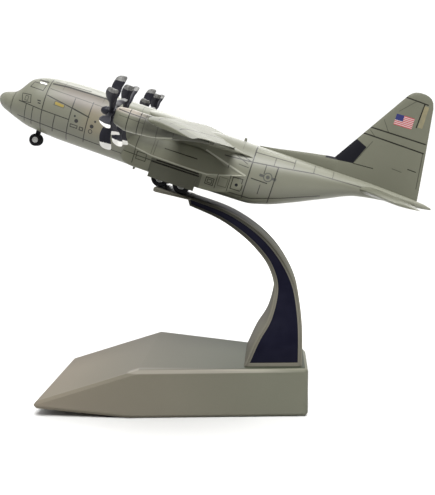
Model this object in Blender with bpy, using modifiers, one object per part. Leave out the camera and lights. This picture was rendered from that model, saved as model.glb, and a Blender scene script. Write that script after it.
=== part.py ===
# A four-propeller high-wing military transport plane as a 1:200 desk model, held nose-up on a display stand.
# The stand's plinth stands on the ground plane. The nose points to -X, port is -Y and up is +Z.
# Aircraft sizes are in millimetres along its own axes: s aft from near the nose tip, y to starboard, h up.

import math

import bmesh
import bpy
import numpy as np
from mathutils import Vector

MM = 0.001

# Attitude of the model on its stand
PITCH = math.radians(18.3)
NOSE_TIP = (-67.6, 0.0, 119.3)

# Gaps: between fixed pieces, and between a turning piece and its neighbour
FIT = 0.1
RUN = 0.3

# Fuselage: one row a section, (s, half width, top h, bottom h)
FUSELAGE_SECTIONS = (
    (-0.7, 0.25, 1.1, 0.4),
    (0.0, 2.2, 2.6, -1.2),
    (1.5, 3.9, 3.6, -2.4),
    (5.0, 6.2, 4.8, -3.9),
    (7.6, 7.4, 7.5, -4.9),
    (9.4, 8.2, 10.1, -5.5),
    (11.5, 8.8, 12.0, -6.2),
    (14.5, 9.6, 13.3, -6.8),
    (20.0, 10.5, 14.5, -7.4),
    (26.0, 10.8, 15.1, -7.8),
    (44.0, 10.8, 15.2, -8.2),
    (60.0, 10.8, 15.0, -8.6),
    (70.5, 10.8, 14.9, -8.6),
    (74.5, 10.8, 13.6, -8.6),
    (80.0, 10.8, 13.0, -8.6),
    (84.0, 10.8, 14.1, -8.6),
    (102.0, 10.8, 14.0, -8.5),
    (110.3, 10.6, 14.0, -6.7),
    (120.0, 9.8, 13.9, -2.8),
    (130.0, 8.5, 13.8, 1.8),
    (143.0, 6.0, 13.7, 7.3),
    (157.0, 3.3, 13.1, 9.3),
    (168.0, 1.3, 12.4, 10.4),
    (171.6, 0.3, 11.6, 11.0),
)
FUSELAGE_SIDES = 32
RADOME_END = 5.9

# Wing: (y, leading edge s, chord, thickness), mirrored to port
WING_SECTIONS = (
    (0.0, 68.5, 24.4, 4.3),
    (27.0, 68.8, 24.2, 4.1),
    (98.0, 70.5, 14.2, 1.7),
    (101.0, 72.0, 11.0, 0.8),
)
WING_H = 12.5
WING_INCIDENCE = math.tan(math.radians(4.3))
# Share of a section's thickness above and below its chord, doubled
UPPER_SHARE = 1.15
LOWER_SHARE = 0.85

# Engines, port outer to starboard outer: (number, y, thrust line h, turn of the propeller in degrees)
ENGINES = (
    ("1", -50.4, 10.3, 8.0),
    ("2", -24.6, 9.8, 30.0),
    ("3", 24.6, 9.8, 8.0),
    ("4", 50.4, 10.3, 30.0),
)
PROP_S = 51.8
PROP_TILT = math.radians(5.0)
PROP_RADIUS = 12.5
PROP_HUB_RADIUS = 1.5
PROP_HUB_LENGTH = 2.6
PROP_BLADES = 6
SPINNER_LENGTH = 2.3
# Nacelle: (s, half width, top, bottom), the heights measured from the thrust line
NACELLE_SECTIONS = (
    (53.5, 2.2, 2.0, -3.2),
    (55.0, 2.9, 2.6, -3.9),
    (58.0, 3.3, 2.9, -4.7),
    (66.0, 3.2, 2.8, -4.1),
    (72.0, 3.0, 2.6, -3.0),
    (78.0, 2.6, 2.1, -1.5),
    (86.0, 1.2, 0.9, -0.1),
)
NACELLE_SIDES = 20
NACELLE_SQUARE = 1.15
# Blade: (radius share, chord, thickness, pitch angle in degrees, sweep along the chord)
BLADE_SECTIONS = (
    (0.08, 1.5, 1.0, 84.0, 0.0),
    (0.38, 1.7, 0.9, 82.0, 0.0),
    (0.46, 3.0, 0.8, 81.0, -0.2),
    (0.66, 3.7, 0.6, 79.0, -0.3),
    (0.86, 3.9, 0.5, 77.0, 0.3),
    (0.95, 3.6, 0.45, 76.0, 0.8),
    (1.0, 2.2, 0.4, 75.0, 1.3),
)

# Fin: (h, leading edge s, trailing edge s, half thickness)
FIN_SECTIONS = (
    (10.5, 124.6, 165.9, 1.9),
    (18.6, 130.0, 164.7, 1.8),
    (32.0, 138.3, 162.5, 1.4),
    (47.6, 147.9, 159.8, 1.0),
    (50.8, 150.1, 157.9, 0.7),
    (51.9, 152.7, 155.7, 0.35),
)
# Dorsal fillet: (s, top h, half thickness)
FILLET_SECTIONS = (
    (101.5, 14.3, 0.25),
    (108.0, 15.2, 0.6),
    (116.0, 16.7, 0.9),
    (129.2, 19.0, 1.5),
)
FILLET_BASE_H = 11.5
# Tailplane half: (y, leading edge s, chord, thickness)
STABILISER_SECTIONS = (
    (0.0, 143.5, 22.0, 2.6),
    (37.5, 150.0, 11.6, 1.3),
    (40.0, 152.0, 8.0, 0.6),
)
STABILISER_H = 10.5

# Main-gear fairing: (s, outer y, chine h, top h, bottom h)
SPONSON_SECTIONS = (
    (52.3, 10.7, 0.1, 1.5, -6.5),
    (54.0, 12.4, -0.1, 3.6, -7.6),
    (58.0, 13.4, -0.7, 5.0, -8.0),
    (64.0, 13.8, -1.6, 5.8, -8.0),
    (80.0, 13.8, -1.9, 6.6, -8.0),
    (86.0, 13.4, -1.8, 5.9, -7.9),
    (92.0, 12.5, -0.3, 4.4, -7.2),
    (100.3, 10.7, 1.9, 2.1, -4.0),
)
# Its section above and below the chine: (inset from the outer y, share of the height to the top or bottom)
SPONSON_UPPER = ((3.2, 1.0), (1.2, 0.55), (0.3, 0.18))
SPONSON_LOWER = ((0.7, 0.15), (0.9, 0.8), (2.4, 1.0))
SPONSON_INNER_Y = 5.0
SPONSON_INNER_TOP_SHARE = 0.5

# Landing gear
MAIN_WHEEL_S = (("front", 69.6), ("rear", 78.1))
MAIN_WHEEL_Y = 11.0
MAIN_WHEEL_H = -8.8
MAIN_TYRE_RADIUS = 3.4
MAIN_TYRE_WIDTH = 2.6
NOSE_WHEEL_S = 17.6
NOSE_WHEEL_Y = 1.5
NOSE_WHEEL_H = -10.7
NOSE_TYRE_RADIUS = 2.4
NOSE_TYRE_WIDTH = 1.5
NOSE_AXLE_RADIUS = 0.33
RIM_SHARE = 0.48
HUB_SHARE = 0.78
SIDES = (("port", -1.0), ("starboard", 1.0))
# Height of the bottom of each wheel well and slot cutter, clear below the fairing
CUTTER_BOTTOM_H = -12.0
# Main gear: the well's walls each side of the wheels' middle, the leg's beam and post, the fixed door
WELL_INNER_REACH = 2.9
WELL_OUTER_REACH = 1.75
BEAM_THICKNESS = 0.9
BEAM_HALF_HEIGHT = 0.7
BEAM_OVERHANG = 0.8
POST_HALF_WIDTH = 1.1
MAIN_DOOR_S = (65.0, 83.0)
MAIN_DOOR_Y = (12.8, 13.5)
MAIN_DOOR_H = (-9.5, -3.7)
SLOT_OUTER_Y = 20.0
# Nose gear: the leg's half sizes along s and y, its top inside the fuselage, and the gap in its axle's eye
NOSE_LEG_HALF = (0.9, 0.42)
NOSE_LEG_TOP_H = -6.0
NOSE_EYE_GAP = 0.22
NOSE_EYE_REACH = 2.0
# Aerials: (name, leading edge s, root h inside the fuselage, tip h, root chord)
AERIALS = (
    ("aerial_spine", 95.2, 12.8, 15.3, 1.4),
    ("aerial_belly_front", 57.0, -7.5, -9.7, 1.3),
)
AERIAL_THICKNESS = 0.6
AERIAL_TAPER = 0.6

# Stand. Plinth plan: x, port edge y, starboard edge y
PLINTH_HEIGHT = 18.5
PLINTH_FRONT = (-51.6, -26.9, 42.0)
PLINTH_CREASE = (-11.2, -26.9, 42.0)
PLINTH_BEND_X = -15.1
PLINTH_REAR = (51.6, -21.4, 11.0)
PLINTH_TIP_TOP = 5.6
PLINTH_TIP_BOTTOM = 3.3
PLINTH_CHAMFER = 1.5
# Arm: (outer x, outer z, inner x, inner z, port y outer, port y inner, starboard y outer, starboard y inner)
ARM_STATIONS = (
    (49.4, 18.6, 27.6, 18.6, -18.4, -19.6, 7.6, 18.0),
    (49.5, 28.5, 31.8, 27.9, -17.0, -18.2, 8.8, 16.6),
    (49.1, 37.3, 36.4, 35.8, -14.5, -15.6, 9.6, 15.2),
    (47.4, 47.6, 38.8, 46.5, -12.0, -12.4, 10.0, 12.6),
    (43.5, 56.4, 36.9, 54.8, -11.0, -11.2, 10.4, 11.4),
    (37.8, 64.4, 32.3, 61.6, -11.0, -11.0, 10.6, 11.0),
    (30.4, 71.0, 25.8, 67.9, -11.0, -11.0, 10.8, 11.0),
    (20.4, 76.9, 17.6, 73.6, -11.0, -11.0, 11.0, 11.0),
    (8.85, 81.1, 7.85, 78.2, -11.0, -11.0, 11.0, 11.0),
)
ARM_STEPS = 33
INLAY_RIM = 1.6
INLAY_RIM_SHARE = 0.25
INLAY_DEPTH = 0.5
INLAY_SINK = 0.1
POCKET_REACH = 1.0
# Cradle plate under the main wheels
CRADLE_S = (68.4, 84.4)
CRADLE_HALF_WIDTH = 13.2
CRADLE_THICKNESS = 1.8
CRADLE_ROUND = 0.6

GREY_GREEN = (0.36, 0.37, 0.30)
STAND_METAL = (0.33, 0.32, 0.27)


def material(name, colour, roughness, metallic=0.0):
    found = bpy.data.materials.get(name)
    if found:
        return found
    made = bpy.data.materials.new(name)
    made.use_nodes = True
    shader = made.node_tree.nodes["Principled BSDF"]
    shader.inputs["Base Color"].default_value = (*colour, 1.0)
    shader.inputs["Roughness"].default_value = roughness
    shader.inputs["Metallic"].default_value = metallic
    return made


def clear_scene():
    for thing in list(bpy.data.objects):
        bpy.data.objects.remove(thing, do_unlink=True)


def collection(name, hidden=False):
    made = bpy.data.collections.new(name)
    made.hide_render = hidden
    bpy.context.scene.collection.children.link(made)
    return made


clear_scene()
PARTS = collection("transport_plane_model")
CUTTERS = collection("cutters", hidden=True)

PAINT = material("airframe_paint", GREY_GREEN, 0.45, 0.1)
BLACK = material("propeller_black", (0.02, 0.02, 0.025), 0.4)
GEAR_BLACK = material("landing_gear_black", (0.025, 0.025, 0.03), 0.5, 0.2)
RUBBER = material("tyre_rubber", (0.02, 0.02, 0.02), 0.8)
HUB_GREY = material("wheel_hub_grey", (0.45, 0.45, 0.43), 0.4, 0.3)
METAL = material("stand_metal", STAND_METAL, 0.35, 0.8)
INLAY = material("stand_inlay_black", (0.012, 0.012, 0.025), 0.25)


def empty(name, place, parent=None, turn=(0.0, 0.0, 0.0)):
    made = bpy.data.objects.new(name, None)
    made.location = Vector(place) * MM
    made.rotation_euler = turn
    made.parent = parent
    PARTS.objects.link(made)
    return made


AIRCRAFT = empty("aircraft_frame", NOSE_TIP, turn=(0.0, PITCH, 0.0))


def piece(name, mesh, finish, parent=None, place=(0.0, 0.0, 0.0), cutter=False):
    """An object from a mesh in metres. A cutter stays out of the finished part."""
    made = bpy.data.objects.new(name, mesh)
    made.location = Vector(place) * MM
    made.parent = parent
    if cutter:
        made.hide_render = True
        made.display_type = "WIRE"
        CUTTERS.objects.link(made)
    else:
        mesh.materials.append(finish)
        mesh.shade_smooth()
        mesh.set_sharp_from_angle(angle=math.radians(40.0))
        PARTS.objects.link(made)
    return made


def loft_mesh(name, rings):
    """Quads between rings of equal length, (x, y, z) in millimetres, with both ends capped."""
    rings = np.asarray(rings, float) * MM
    count, size, _ = rings.shape
    faces = [
        (i * size + j, i * size + (j + 1) % size, (i + 1) * size + (j + 1) % size, (i + 1) * size + j)
        for i in range(count - 1)
        for j in range(size)
    ]
    faces.append(tuple(range(size))[::-1])
    faces.append(tuple((count - 1) * size + j for j in range(size)))
    mesh = bpy.data.meshes.new(name)
    mesh.from_pydata(rings.reshape(-1, 3).tolist(), [], faces)
    outward(mesh)
    return mesh


def outward(mesh):
    work = bmesh.new()
    work.from_mesh(mesh)
    bmesh.ops.recalc_face_normals(work, faces=work.faces)
    if work.calc_volume(signed=True) < 0:
        bmesh.ops.reverse_faces(work, faces=work.faces)
    work.to_mesh(mesh)
    work.free()


def cut(target, cutter, operation="DIFFERENCE"):
    modifier = target.modifiers.new(f"{operation.lower()} {cutter.name}", "BOOLEAN")
    modifier.operation = operation
    modifier.object = cutter
    modifier.solver = "EXACT"


def box_mesh(name, low, high):
    """A box between two corners in millimetres."""
    work = bmesh.new()
    bmesh.ops.create_cube(work, size=1.0)
    low, high = Vector(low) * MM, Vector(high) * MM
    for corner in work.verts:
        corner.co = Vector((low[i] + (corner.co[i] + 0.5) * (high[i] - low[i]) for i in range(3)))
    mesh = bpy.data.meshes.new(name)
    work.to_mesh(mesh)
    work.free()
    return mesh


def bevel(target, width, segments=2):
    modifier = target.modifiers.new("rounded edges", "BEVEL")
    modifier.width = width * MM
    modifier.segments = segments
    modifier.limit_method = "ANGLE"


def turned_rings(profile, steps):
    """Rings about the Y axis from (radius, y) points in millimetres."""
    angles = np.linspace(0.0, 2.0 * math.pi, steps, endpoint=False)
    return [[(r * math.cos(a), y, r * math.sin(a)) for a in angles] for r, y in profile]


def rod_profile(radius, half_length):
    return ((radius, -half_length), (radius, half_length))


def turned(name, profile, finish, parent, place, steps=28):
    """A body turned about the Y axis, its two ends capped flat."""
    return piece(name, loft_mesh(name, turned_rings(profile, steps)), finish, parent, place)


def oval_ring(s, half_width, top, bottom, sides, centre_y=0.0, square=1.0):
    """An upright ring at station s. A square over 1 pushes it out towards its corners."""
    ring = []
    for j in range(sides):
        angle = 2.0 * math.pi * (j + 0.5) / sides
        across, along = math.sin(angle), math.cos(angle)
        across = math.copysign(abs(across) ** (1.0 / square), across)
        along = math.copysign(abs(along) ** (1.0 / square), along)
        ring.append((s, centre_y + half_width * across, (top + bottom) / 2 + (top - bottom) / 2 * along))
    return ring


def aerofoil(chord, thickness, points=9):
    """Outline of a wing section, (share of the chord aft, height): over the top and back underneath."""
    aft = 0.5 * (1.0 - np.cos(np.linspace(0.0, math.pi, points)))
    half = thickness * (1.48 * np.sqrt(aft) - 0.63 * aft - 1.758 * aft**2 + 1.4215 * aft**3 - 0.5075 * aft**4)
    half[-1] = 0.08
    half[0] = 0.0
    upper = [(chord * a, UPPER_SHARE * t) for a, t in zip(aft, half)]
    lower = [(chord * a, -LOWER_SHARE * t) for a, t in zip(aft[1:], half[1:])]
    return upper + lower[::-1]


def fuselage_rings(first, last, grow=0.0):
    """Sections between two stations, swollen by grow."""
    table = np.array(FUSELAGE_SECTIONS)
    stations = sorted({first, last} | {row[0] for row in FUSELAGE_SECTIONS if first < row[0] < last})
    rings = []
    for s in stations:
        half, top, bottom = (np.interp(s, table[:, 0], table[:, i]) for i in (1, 2, 3))
        rings.append(oval_ring(s, half + grow, top + grow, bottom - grow, FUSELAGE_SIDES))
    return rings


def wing_rings(grow=0.0):
    rings = []
    for side in (-1.0, 1.0):
        rows = WING_SECTIONS[::-1] if side < 0 else WING_SECTIONS[1:]
        for y, lead, chord, thick in rows:
            outline = aerofoil(chord + 2 * grow, thick + 2.4 * grow)
            rings.append([(lead - grow + a, side * y, WING_H - WING_INCIDENCE * a + t) for a, t in outline])
    return rings


def make_fuselage(wing_cutter):
    radome_mesh = loft_mesh("radome", fuselage_rings(FUSELAGE_SECTIONS[0][0], RADOME_END))
    piece("radome", radome_mesh, PAINT, AIRCRAFT)
    body_mesh = loft_mesh("fuselage", fuselage_rings(RADOME_END + FIT, FUSELAGE_SECTIONS[-1][0]))
    body = piece("fuselage", body_mesh, PAINT, AIRCRAFT)
    cut(body, wing_cutter)


def make_tail(body_cutter):
    rings = []
    for h, lead, trail, half in FIN_SECTIONS:
        outline = aerofoil(trail - lead, 2 * half)
        rings.append([(lead + a, t, h) for a, t in outline])
    fin = piece("fin", loft_mesh("fin", rings), PAINT, AIRCRAFT)
    cut(fin, body_cutter)
    rings = [
        [(s, half, FILLET_BASE_H), (s, 0.35 * half, top), (s, -0.35 * half, top), (s, -half, FILLET_BASE_H)]
        for s, top, half in FILLET_SECTIONS
    ]
    fillet = piece("dorsal_fillet", loft_mesh("dorsal_fillet", rings), PAINT, AIRCRAFT)
    fin_cutter = piece("fin_cutter", fin_cutter_mesh(), None, AIRCRAFT, cutter=True)
    cut(fillet, body_cutter)
    cut(fillet, fin_cutter)
    for side_name, side in SIDES:
        rings = []
        for y, lead, chord, thick in STABILISER_SECTIONS:
            rings.append([(lead + a, side * y, STABILISER_H + t) for a, t in aerofoil(chord, thick)])
        name = f"stabiliser_{side_name}"
        half_tail = piece(name, loft_mesh(name, rings), PAINT, AIRCRAFT)
        cut(half_tail, body_cutter)
        cut(half_tail, fin_cutter)


def fin_cutter_mesh():
    rings = []
    for h, lead, trail, half in FIN_SECTIONS:
        outline = aerofoil(trail - lead + 2 * FIT, 2 * half + 2.4 * FIT)
        rings.append([(lead - FIT + a, t, h) for a, t in outline])
    rings[0] = [(x, y, h - FIT) for x, y, h in rings[0]]
    return loft_mesh("fin_cutter", rings)


def make_engine(number, y, thrust_h, phase, wing_cutter):
    """A nacelle under the wing, its spinner and its six-bladed propeller."""
    rings = [
        oval_ring(s, half, thrust_h + top, thrust_h + bottom, NACELLE_SIDES, y, NACELLE_SQUARE)
        for s, half, top, bottom in NACELLE_SECTIONS
    ]
    nacelle = piece(f"nacelle_{number}", loft_mesh(f"nacelle_{number}", rings), PAINT, AIRCRAFT)
    cut(nacelle, wing_cutter)
    axle = empty(f"propeller_axis_{number}", (PROP_S, y, thrust_h), AIRCRAFT, (0.0, -PROP_TILT, 0.0))
    make_spinner(number, axle)
    make_propeller(number, axle, math.radians(phase))


def make_spinner(number, axle):
    """A pointed dome ahead of the hub, on the propeller's axis."""
    start = -PROP_HUB_LENGTH / 2 - FIT
    steps = np.linspace(0.0, math.pi / 2, 6)
    angles = np.linspace(0, 2 * math.pi, 20, endpoint=False)
    profile = [(PROP_HUB_RADIUS * math.cos(t) + 0.05, start - SPINNER_LENGTH * math.sin(t)) for t in steps]
    rings = [[(x, r * math.cos(a), r * math.sin(a)) for a in angles] for r, x in profile]
    piece(f"spinner_{number}", loft_mesh(f"spinner_{number}", rings), BLACK, axle)


def make_propeller(number, axle, phase):
    """The hub with its blades joined to it."""
    ring_angles = np.linspace(0, 2 * math.pi, 24, endpoint=False)
    ends = (-PROP_HUB_LENGTH / 2, PROP_HUB_LENGTH / 2)
    circle = [(PROP_HUB_RADIUS * math.cos(a), PROP_HUB_RADIUS * math.sin(a)) for a in ring_angles]
    rings = [[(x, y, z) for y, z in circle] for x in ends]
    hub = piece(f"propeller_{number}", loft_mesh(f"propeller_{number}", rings), BLACK, axle)
    for blade in range(PROP_BLADES):
        turn = phase + 2.0 * math.pi * blade / PROP_BLADES
        mesh = loft_mesh(f"blade_{number}_{blade}", blade_rings(turn))
        cut(hub, piece(f"blade_{number}_{blade}", mesh, None, axle, cutter=True), "UNION")


def blade_rings(turn):
    """Flattened ovals along the radius, the chord turned from the disc's plane by the pitch angle."""
    rings = []
    for share, chord, thick, pitch, sweep in BLADE_SECTIONS:
        lean = math.radians(pitch)
        ring = []
        for j in range(8):
            a = 2.0 * math.pi * j / 8
            along = chord / 2 * math.cos(a) + sweep
            through = thick / 2 * math.sin(a)
            x = along * math.sin(lean) + through * math.cos(lean)
            across = -along * math.cos(lean) + through * math.sin(lean)
            radius = PROP_RADIUS * share
            ring.append((
                x,
                radius * math.sin(turn) + across * math.cos(turn),
                radius * math.cos(turn) - across * math.sin(turn),
            ))
        rings.append(ring)
    return rings


def make_sponson(side_name, side, body_cutter):
    """The fairing along the lower fuselage that houses the main wheels, with the panel beside them."""
    rings = []
    for s, outer, chine, top, bottom in SPONSON_SECTIONS:
        rise, drop = top - chine, bottom - chine
        upper = [(s, side * (outer - inset), chine + share * rise) for inset, share in SPONSON_UPPER]
        lower = [(s, side * (outer - inset), chine + share * drop) for inset, share in SPONSON_LOWER]
        rings.append([
            (s, side * SPONSON_INNER_Y, top * SPONSON_INNER_TOP_SHARE),
            *upper,
            (s, side * outer, chine),
            *lower,
            (s, side * SPONSON_INNER_Y, bottom),
        ])
    name = f"sponson_{side_name}"
    fairing = piece(name, loft_mesh(name, rings), PAINT, AIRCRAFT)
    cut(fairing, body_cutter)
    front, rear = (s for _, s in MAIN_WHEEL_S)
    reach = MAIN_TYRE_RADIUS + RUN
    inner, outer = side * (MAIN_WHEEL_Y - WELL_INNER_REACH), side * (MAIN_WHEEL_Y + WELL_OUTER_REACH)
    low = (front - reach, min(inner, outer), CUTTER_BOTTOM_H)
    high = (rear + reach, max(inner, outer), MAIN_WHEEL_H + reach)
    well = piece(f"wheel_well_{side_name}", box_mesh("well", low, high), None, AIRCRAFT, cutter=True)
    cut(fairing, well)
    name = f"main_gear_door_{side_name}"
    ys = sorted(side * y for y in MAIN_DOOR_Y)
    start, end = MAIN_DOOR_S
    bottom, top = MAIN_DOOR_H
    piece(name, box_mesh(name, (start, ys[0], bottom), (end, ys[1], top)), PAINT, AIRCRAFT)
    ys = sorted(side * y for y in (MAIN_DOOR_Y[0] - FIT, SLOT_OUTER_Y))
    slot_mesh = box_mesh("slot", (start - FIT, ys[0], CUTTER_BOTTOM_H), (end + FIT, ys[1], top + FIT))
    cut(fairing, piece(f"door_slot_{side_name}", slot_mesh, None, AIRCRAFT, cutter=True))


def tyre_profile(radius, width):
    """Half-round tread between flat walls, open at the rim: (radius, y) round the section."""
    rim = radius * RIM_SHARE + 0.05
    half = width / 2
    corner = min(half, (radius - rim)) * 0.7
    points = [(rim, -half * 0.8), (radius - corner, -half)]
    points += [(radius - corner + corner * math.sin(a), -half + corner * (1 - math.cos(a)))
               for a in (math.pi / 4, math.pi / 2)]
    return points + [(r, -y) for r, y in reversed(points)]


def make_wheel(name, radius, width, parent, finish_side):
    """A tyre and its hub on the same axle, the hub's dished face towards finish_side."""
    steps = 32
    angles = np.linspace(0.0, 2.0 * math.pi, steps, endpoint=False)
    profile = tyre_profile(radius, width)
    verts = [(r * math.cos(a) * MM, y * MM, r * math.sin(a) * MM) for r, y in profile for a in angles]
    count = len(profile)
    faces = [
        (i * steps + j, i * steps + (j + 1) % steps, ((i + 1) % count) * steps + (j + 1) % steps,
         ((i + 1) % count) * steps + j)
        for i in range(count)
        for j in range(steps)
    ]
    mesh = bpy.data.meshes.new(f"{name}_tyre")
    mesh.from_pydata(verts, [], faces)
    outward(mesh)
    piece(f"{name}_tyre", mesh, RUBBER, parent)
    rim = radius * RIM_SHARE
    half = width / 2
    edge = rim - 0.05
    hub = [
        (0.001, -half * 0.62),
        (rim * 0.45, -half * 0.62),
        (rim * 0.5, -half * 0.35),
        (rim * 0.85, -half * 0.4),
        (rim * 0.9, -half * HUB_SHARE),
        (edge, -half * HUB_SHARE),
        (edge, half * HUB_SHARE),
        (0.001, half * HUB_SHARE),
    ]
    faced = [(r, y if finish_side < 0 else -y) for r, y in hub]
    turned(f"{name}_hub", faced, HUB_GREY, parent, (0, 0, 0), 24)


def make_main_gear(side_name, side):
    """Two wheels in line, each on its own stub axle of one leg."""
    for end, s in MAIN_WHEEL_S:
        name = f"main_wheel_{side_name}_{end}"
        axis = empty(f"{name}_axis", (s, side * MAIN_WHEEL_Y, MAIN_WHEEL_H), AIRCRAFT)
        make_wheel(name, MAIN_TYRE_RADIUS, MAIN_TYRE_WIDTH, axis, side)
    front, rear = (s for _, s in MAIN_WHEEL_S)
    hub_back = MAIN_WHEEL_Y - MAIN_TYRE_WIDTH / 2 * HUB_SHARE
    outer = side * (hub_back - RUN)
    inner = side * (hub_back - RUN - BEAM_THICKNESS)
    ys = sorted((outer, inner))
    beam_low = (front - BEAM_OVERHANG, ys[0], MAIN_WHEEL_H - BEAM_HALF_HEIGHT)
    beam_high = (rear + BEAM_OVERHANG, ys[1], MAIN_WHEEL_H + BEAM_HALF_HEIGHT)
    beam = piece(f"main_gear_leg_{side_name}", box_mesh("beam", beam_low, beam_high), GEAR_BLACK, AIRCRAFT)
    middle = (front + rear) / 2
    post_low = (middle - POST_HALF_WIDTH, ys[0], MAIN_WHEEL_H)
    post_high = (middle + POST_HALF_WIDTH, ys[1], MAIN_WHEEL_H + MAIN_TYRE_RADIUS + RUN - FIT)
    post = piece(f"post_{side_name}", box_mesh("post", post_low, post_high), None, AIRCRAFT, cutter=True)
    cut(beam, post, "UNION")


def make_nose_gear(body_cutter):
    """Twin wheels on one axle that turns in the eye at the foot of the leg."""
    axis = empty("nose_wheels_axis", (NOSE_WHEEL_S, 0.0, NOSE_WHEEL_H), AIRCRAFT)
    for side_name, side in SIDES:
        holder = empty(f"nose_wheel_{side_name}_centre", (0.0, side * NOSE_WHEEL_Y, 0.0), axis)
        make_wheel(f"nose_wheel_{side_name}", NOSE_TYRE_RADIUS, NOSE_TYRE_WIDTH, holder, side)
    hub_back = NOSE_WHEEL_Y - NOSE_TYRE_WIDTH / 2 * HUB_SHARE
    turned("nose_wheel_axle", rod_profile(NOSE_AXLE_RADIUS, hub_back - FIT), HUB_GREY, axis, (0, 0, 0), 16)
    along, across = NOSE_LEG_HALF
    leg_mesh = box_mesh("nose_gear_leg", (NOSE_WHEEL_S - along, -across, NOSE_WHEEL_H - along),
                        (NOSE_WHEEL_S + along, across, NOSE_LEG_TOP_H))
    leg = piece("nose_gear_leg", leg_mesh, GEAR_BLACK, AIRCRAFT)
    cut(leg, body_cutter)
    eye_profile = rod_profile(NOSE_AXLE_RADIUS + NOSE_EYE_GAP, NOSE_EYE_REACH)
    eye_mesh = loft_mesh("eye", turned_rings(eye_profile, 16))
    cut(leg, piece("nose_leg_eye", eye_mesh, None, axis, cutter=True))


def make_antennas(body_cutter):
    """Blade aerials: one on the spine and one below the fuselage."""
    for name, s, root_h, tip_h, chord in AERIALS:
        rings = [
            [(s + a, t, h) for a, t in aerofoil(chord * taper, AERIAL_THICKNESS * taper)]
            for h, taper in ((root_h, 1.0), (tip_h, AERIAL_TAPER))
        ]
        cut(piece(name, loft_mesh(name, rings), PAINT, AIRCRAFT), body_cutter)


def make_plinth():
    """A low block with a sloping front, its starboard wall running in towards the narrow rear."""
    profile = (
        (PLINTH_FRONT, PLINTH_TIP_BOTTOM, PLINTH_TIP_TOP),
        (PLINTH_CREASE, 0.0, PLINTH_HEIGHT),
        (PLINTH_REAR, 0.0, PLINTH_HEIGHT),
    )
    rings = []
    for (x, port, starboard), low, high in profile:
        low_x = PLINTH_BEND_X if x == PLINTH_CREASE[0] else x
        rings.append([(low_x, port, low), (x, port, high), (x, starboard, high), (low_x, starboard, low)])
    plinth = piece("plinth", loft_mesh("plinth", rings), METAL)
    bevel(plinth, PLINTH_CHAMFER, 1)


def arm_table():
    """The arm's stations, resampled along its length by a smooth curve through them."""
    table = np.array(ARM_STATIONS)
    knots = np.arange(len(table))
    wanted = np.linspace(0, len(table) - 1, ARM_STEPS)
    padded = np.vstack([2 * table[0] - table[1], table, 2 * table[-1] - table[-2]])
    rows = []
    for t in wanted:
        i = min(int(t), len(knots) - 2)
        u = t - i
        before, start, end, after = padded[i:i + 4]
        rows.append(0.5 * (2 * start + (end - before) * u + (2 * before - 5 * start + 4 * end - after) * u**2
                           + (3 * start - before - 3 * end + after) * u**3))
    return np.array(rows)


def arm_face_point(row, share, starboard, inward):
    """A point on a side face: share 0 at the outer edge and 1 at the inner, moved in from the face."""
    outer_x, outer_z, inner_x, inner_z = row[:4]
    y_outer, y_inner = (row[6], row[7]) if starboard else (row[4], row[5])
    y = y_outer + (y_inner - y_outer) * share
    return (
        outer_x + (inner_x - outer_x) * share,
        y - inward if starboard else y + inward,
        outer_z + (inner_z - outer_z) * share,
    )


def inlay_rings(table, starboard, grow, shallow, deep):
    """The inlay's slab: inside the rim by the rim's width less grow, between two depths."""
    rings = []
    for row in table:
        width = math.dist(row[:2], row[2:4])
        rim = (min(INLAY_RIM, INLAY_RIM_SHARE * width) - grow) / width
        rings.append([
            arm_face_point(row, rim, starboard, shallow),
            arm_face_point(row, 1 - rim, starboard, shallow),
            arm_face_point(row, 1 - rim, starboard, deep),
            arm_face_point(row, rim, starboard, deep),
        ])
    return rings


def step_towards(ring, neighbour, share=0.1):
    """A ring moved part of the way to its neighbour, which leaves a gap at the end."""
    ring, neighbour = np.array(ring), np.array(neighbour)
    return (ring + (neighbour - ring) * share).tolist()


def make_arm():
    """The curved arm, with a shallow pocket in each side for its black inlay."""
    table = arm_table()
    rings = [
        [arm_face_point(row, 0, False, 0), arm_face_point(row, 1, False, 0),
         arm_face_point(row, 1, True, 0), arm_face_point(row, 0, True, 0)]
        for row in table
    ]
    arm = piece("stand_arm", loft_mesh("stand_arm", rings), METAL)
    # The pocket's own stations fall midway between the arm's, so no edges coincide
    pocket_rows = (table[:-1] + table[1:]) / 2
    for side_name, side in SIDES:
        starboard = side > 0
        pocket_wall = inlay_rings(pocket_rows, starboard, FIT / 2, -POCKET_REACH, INLAY_DEPTH + FIT)
        pocket = loft_mesh("pocket", pocket_wall)
        cut(arm, piece(f"pocket_{side_name}", pocket, None, cutter=True))
        slab = inlay_rings(pocket_rows, starboard, -FIT / 2, INLAY_SINK, INLAY_DEPTH)
        slab[0] = step_towards(slab[0], slab[1])
        slab[-1] = step_towards(slab[-1], slab[-2])
        piece(f"arm_inlay_{side_name}", loft_mesh("inlay", slab), INLAY)


def make_cradle():
    """The plate that the main wheels stand on."""
    top = MAIN_WHEEL_H - MAIN_TYRE_RADIUS - RUN
    plate = piece("cradle", box_mesh("cradle", (CRADLE_S[0], -CRADLE_HALF_WIDTH, top - CRADLE_THICKNESS),
                                     (CRADLE_S[1], CRADLE_HALF_WIDTH, top)), METAL, AIRCRAFT)
    bevel(plate, CRADLE_ROUND, 2)


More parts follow.
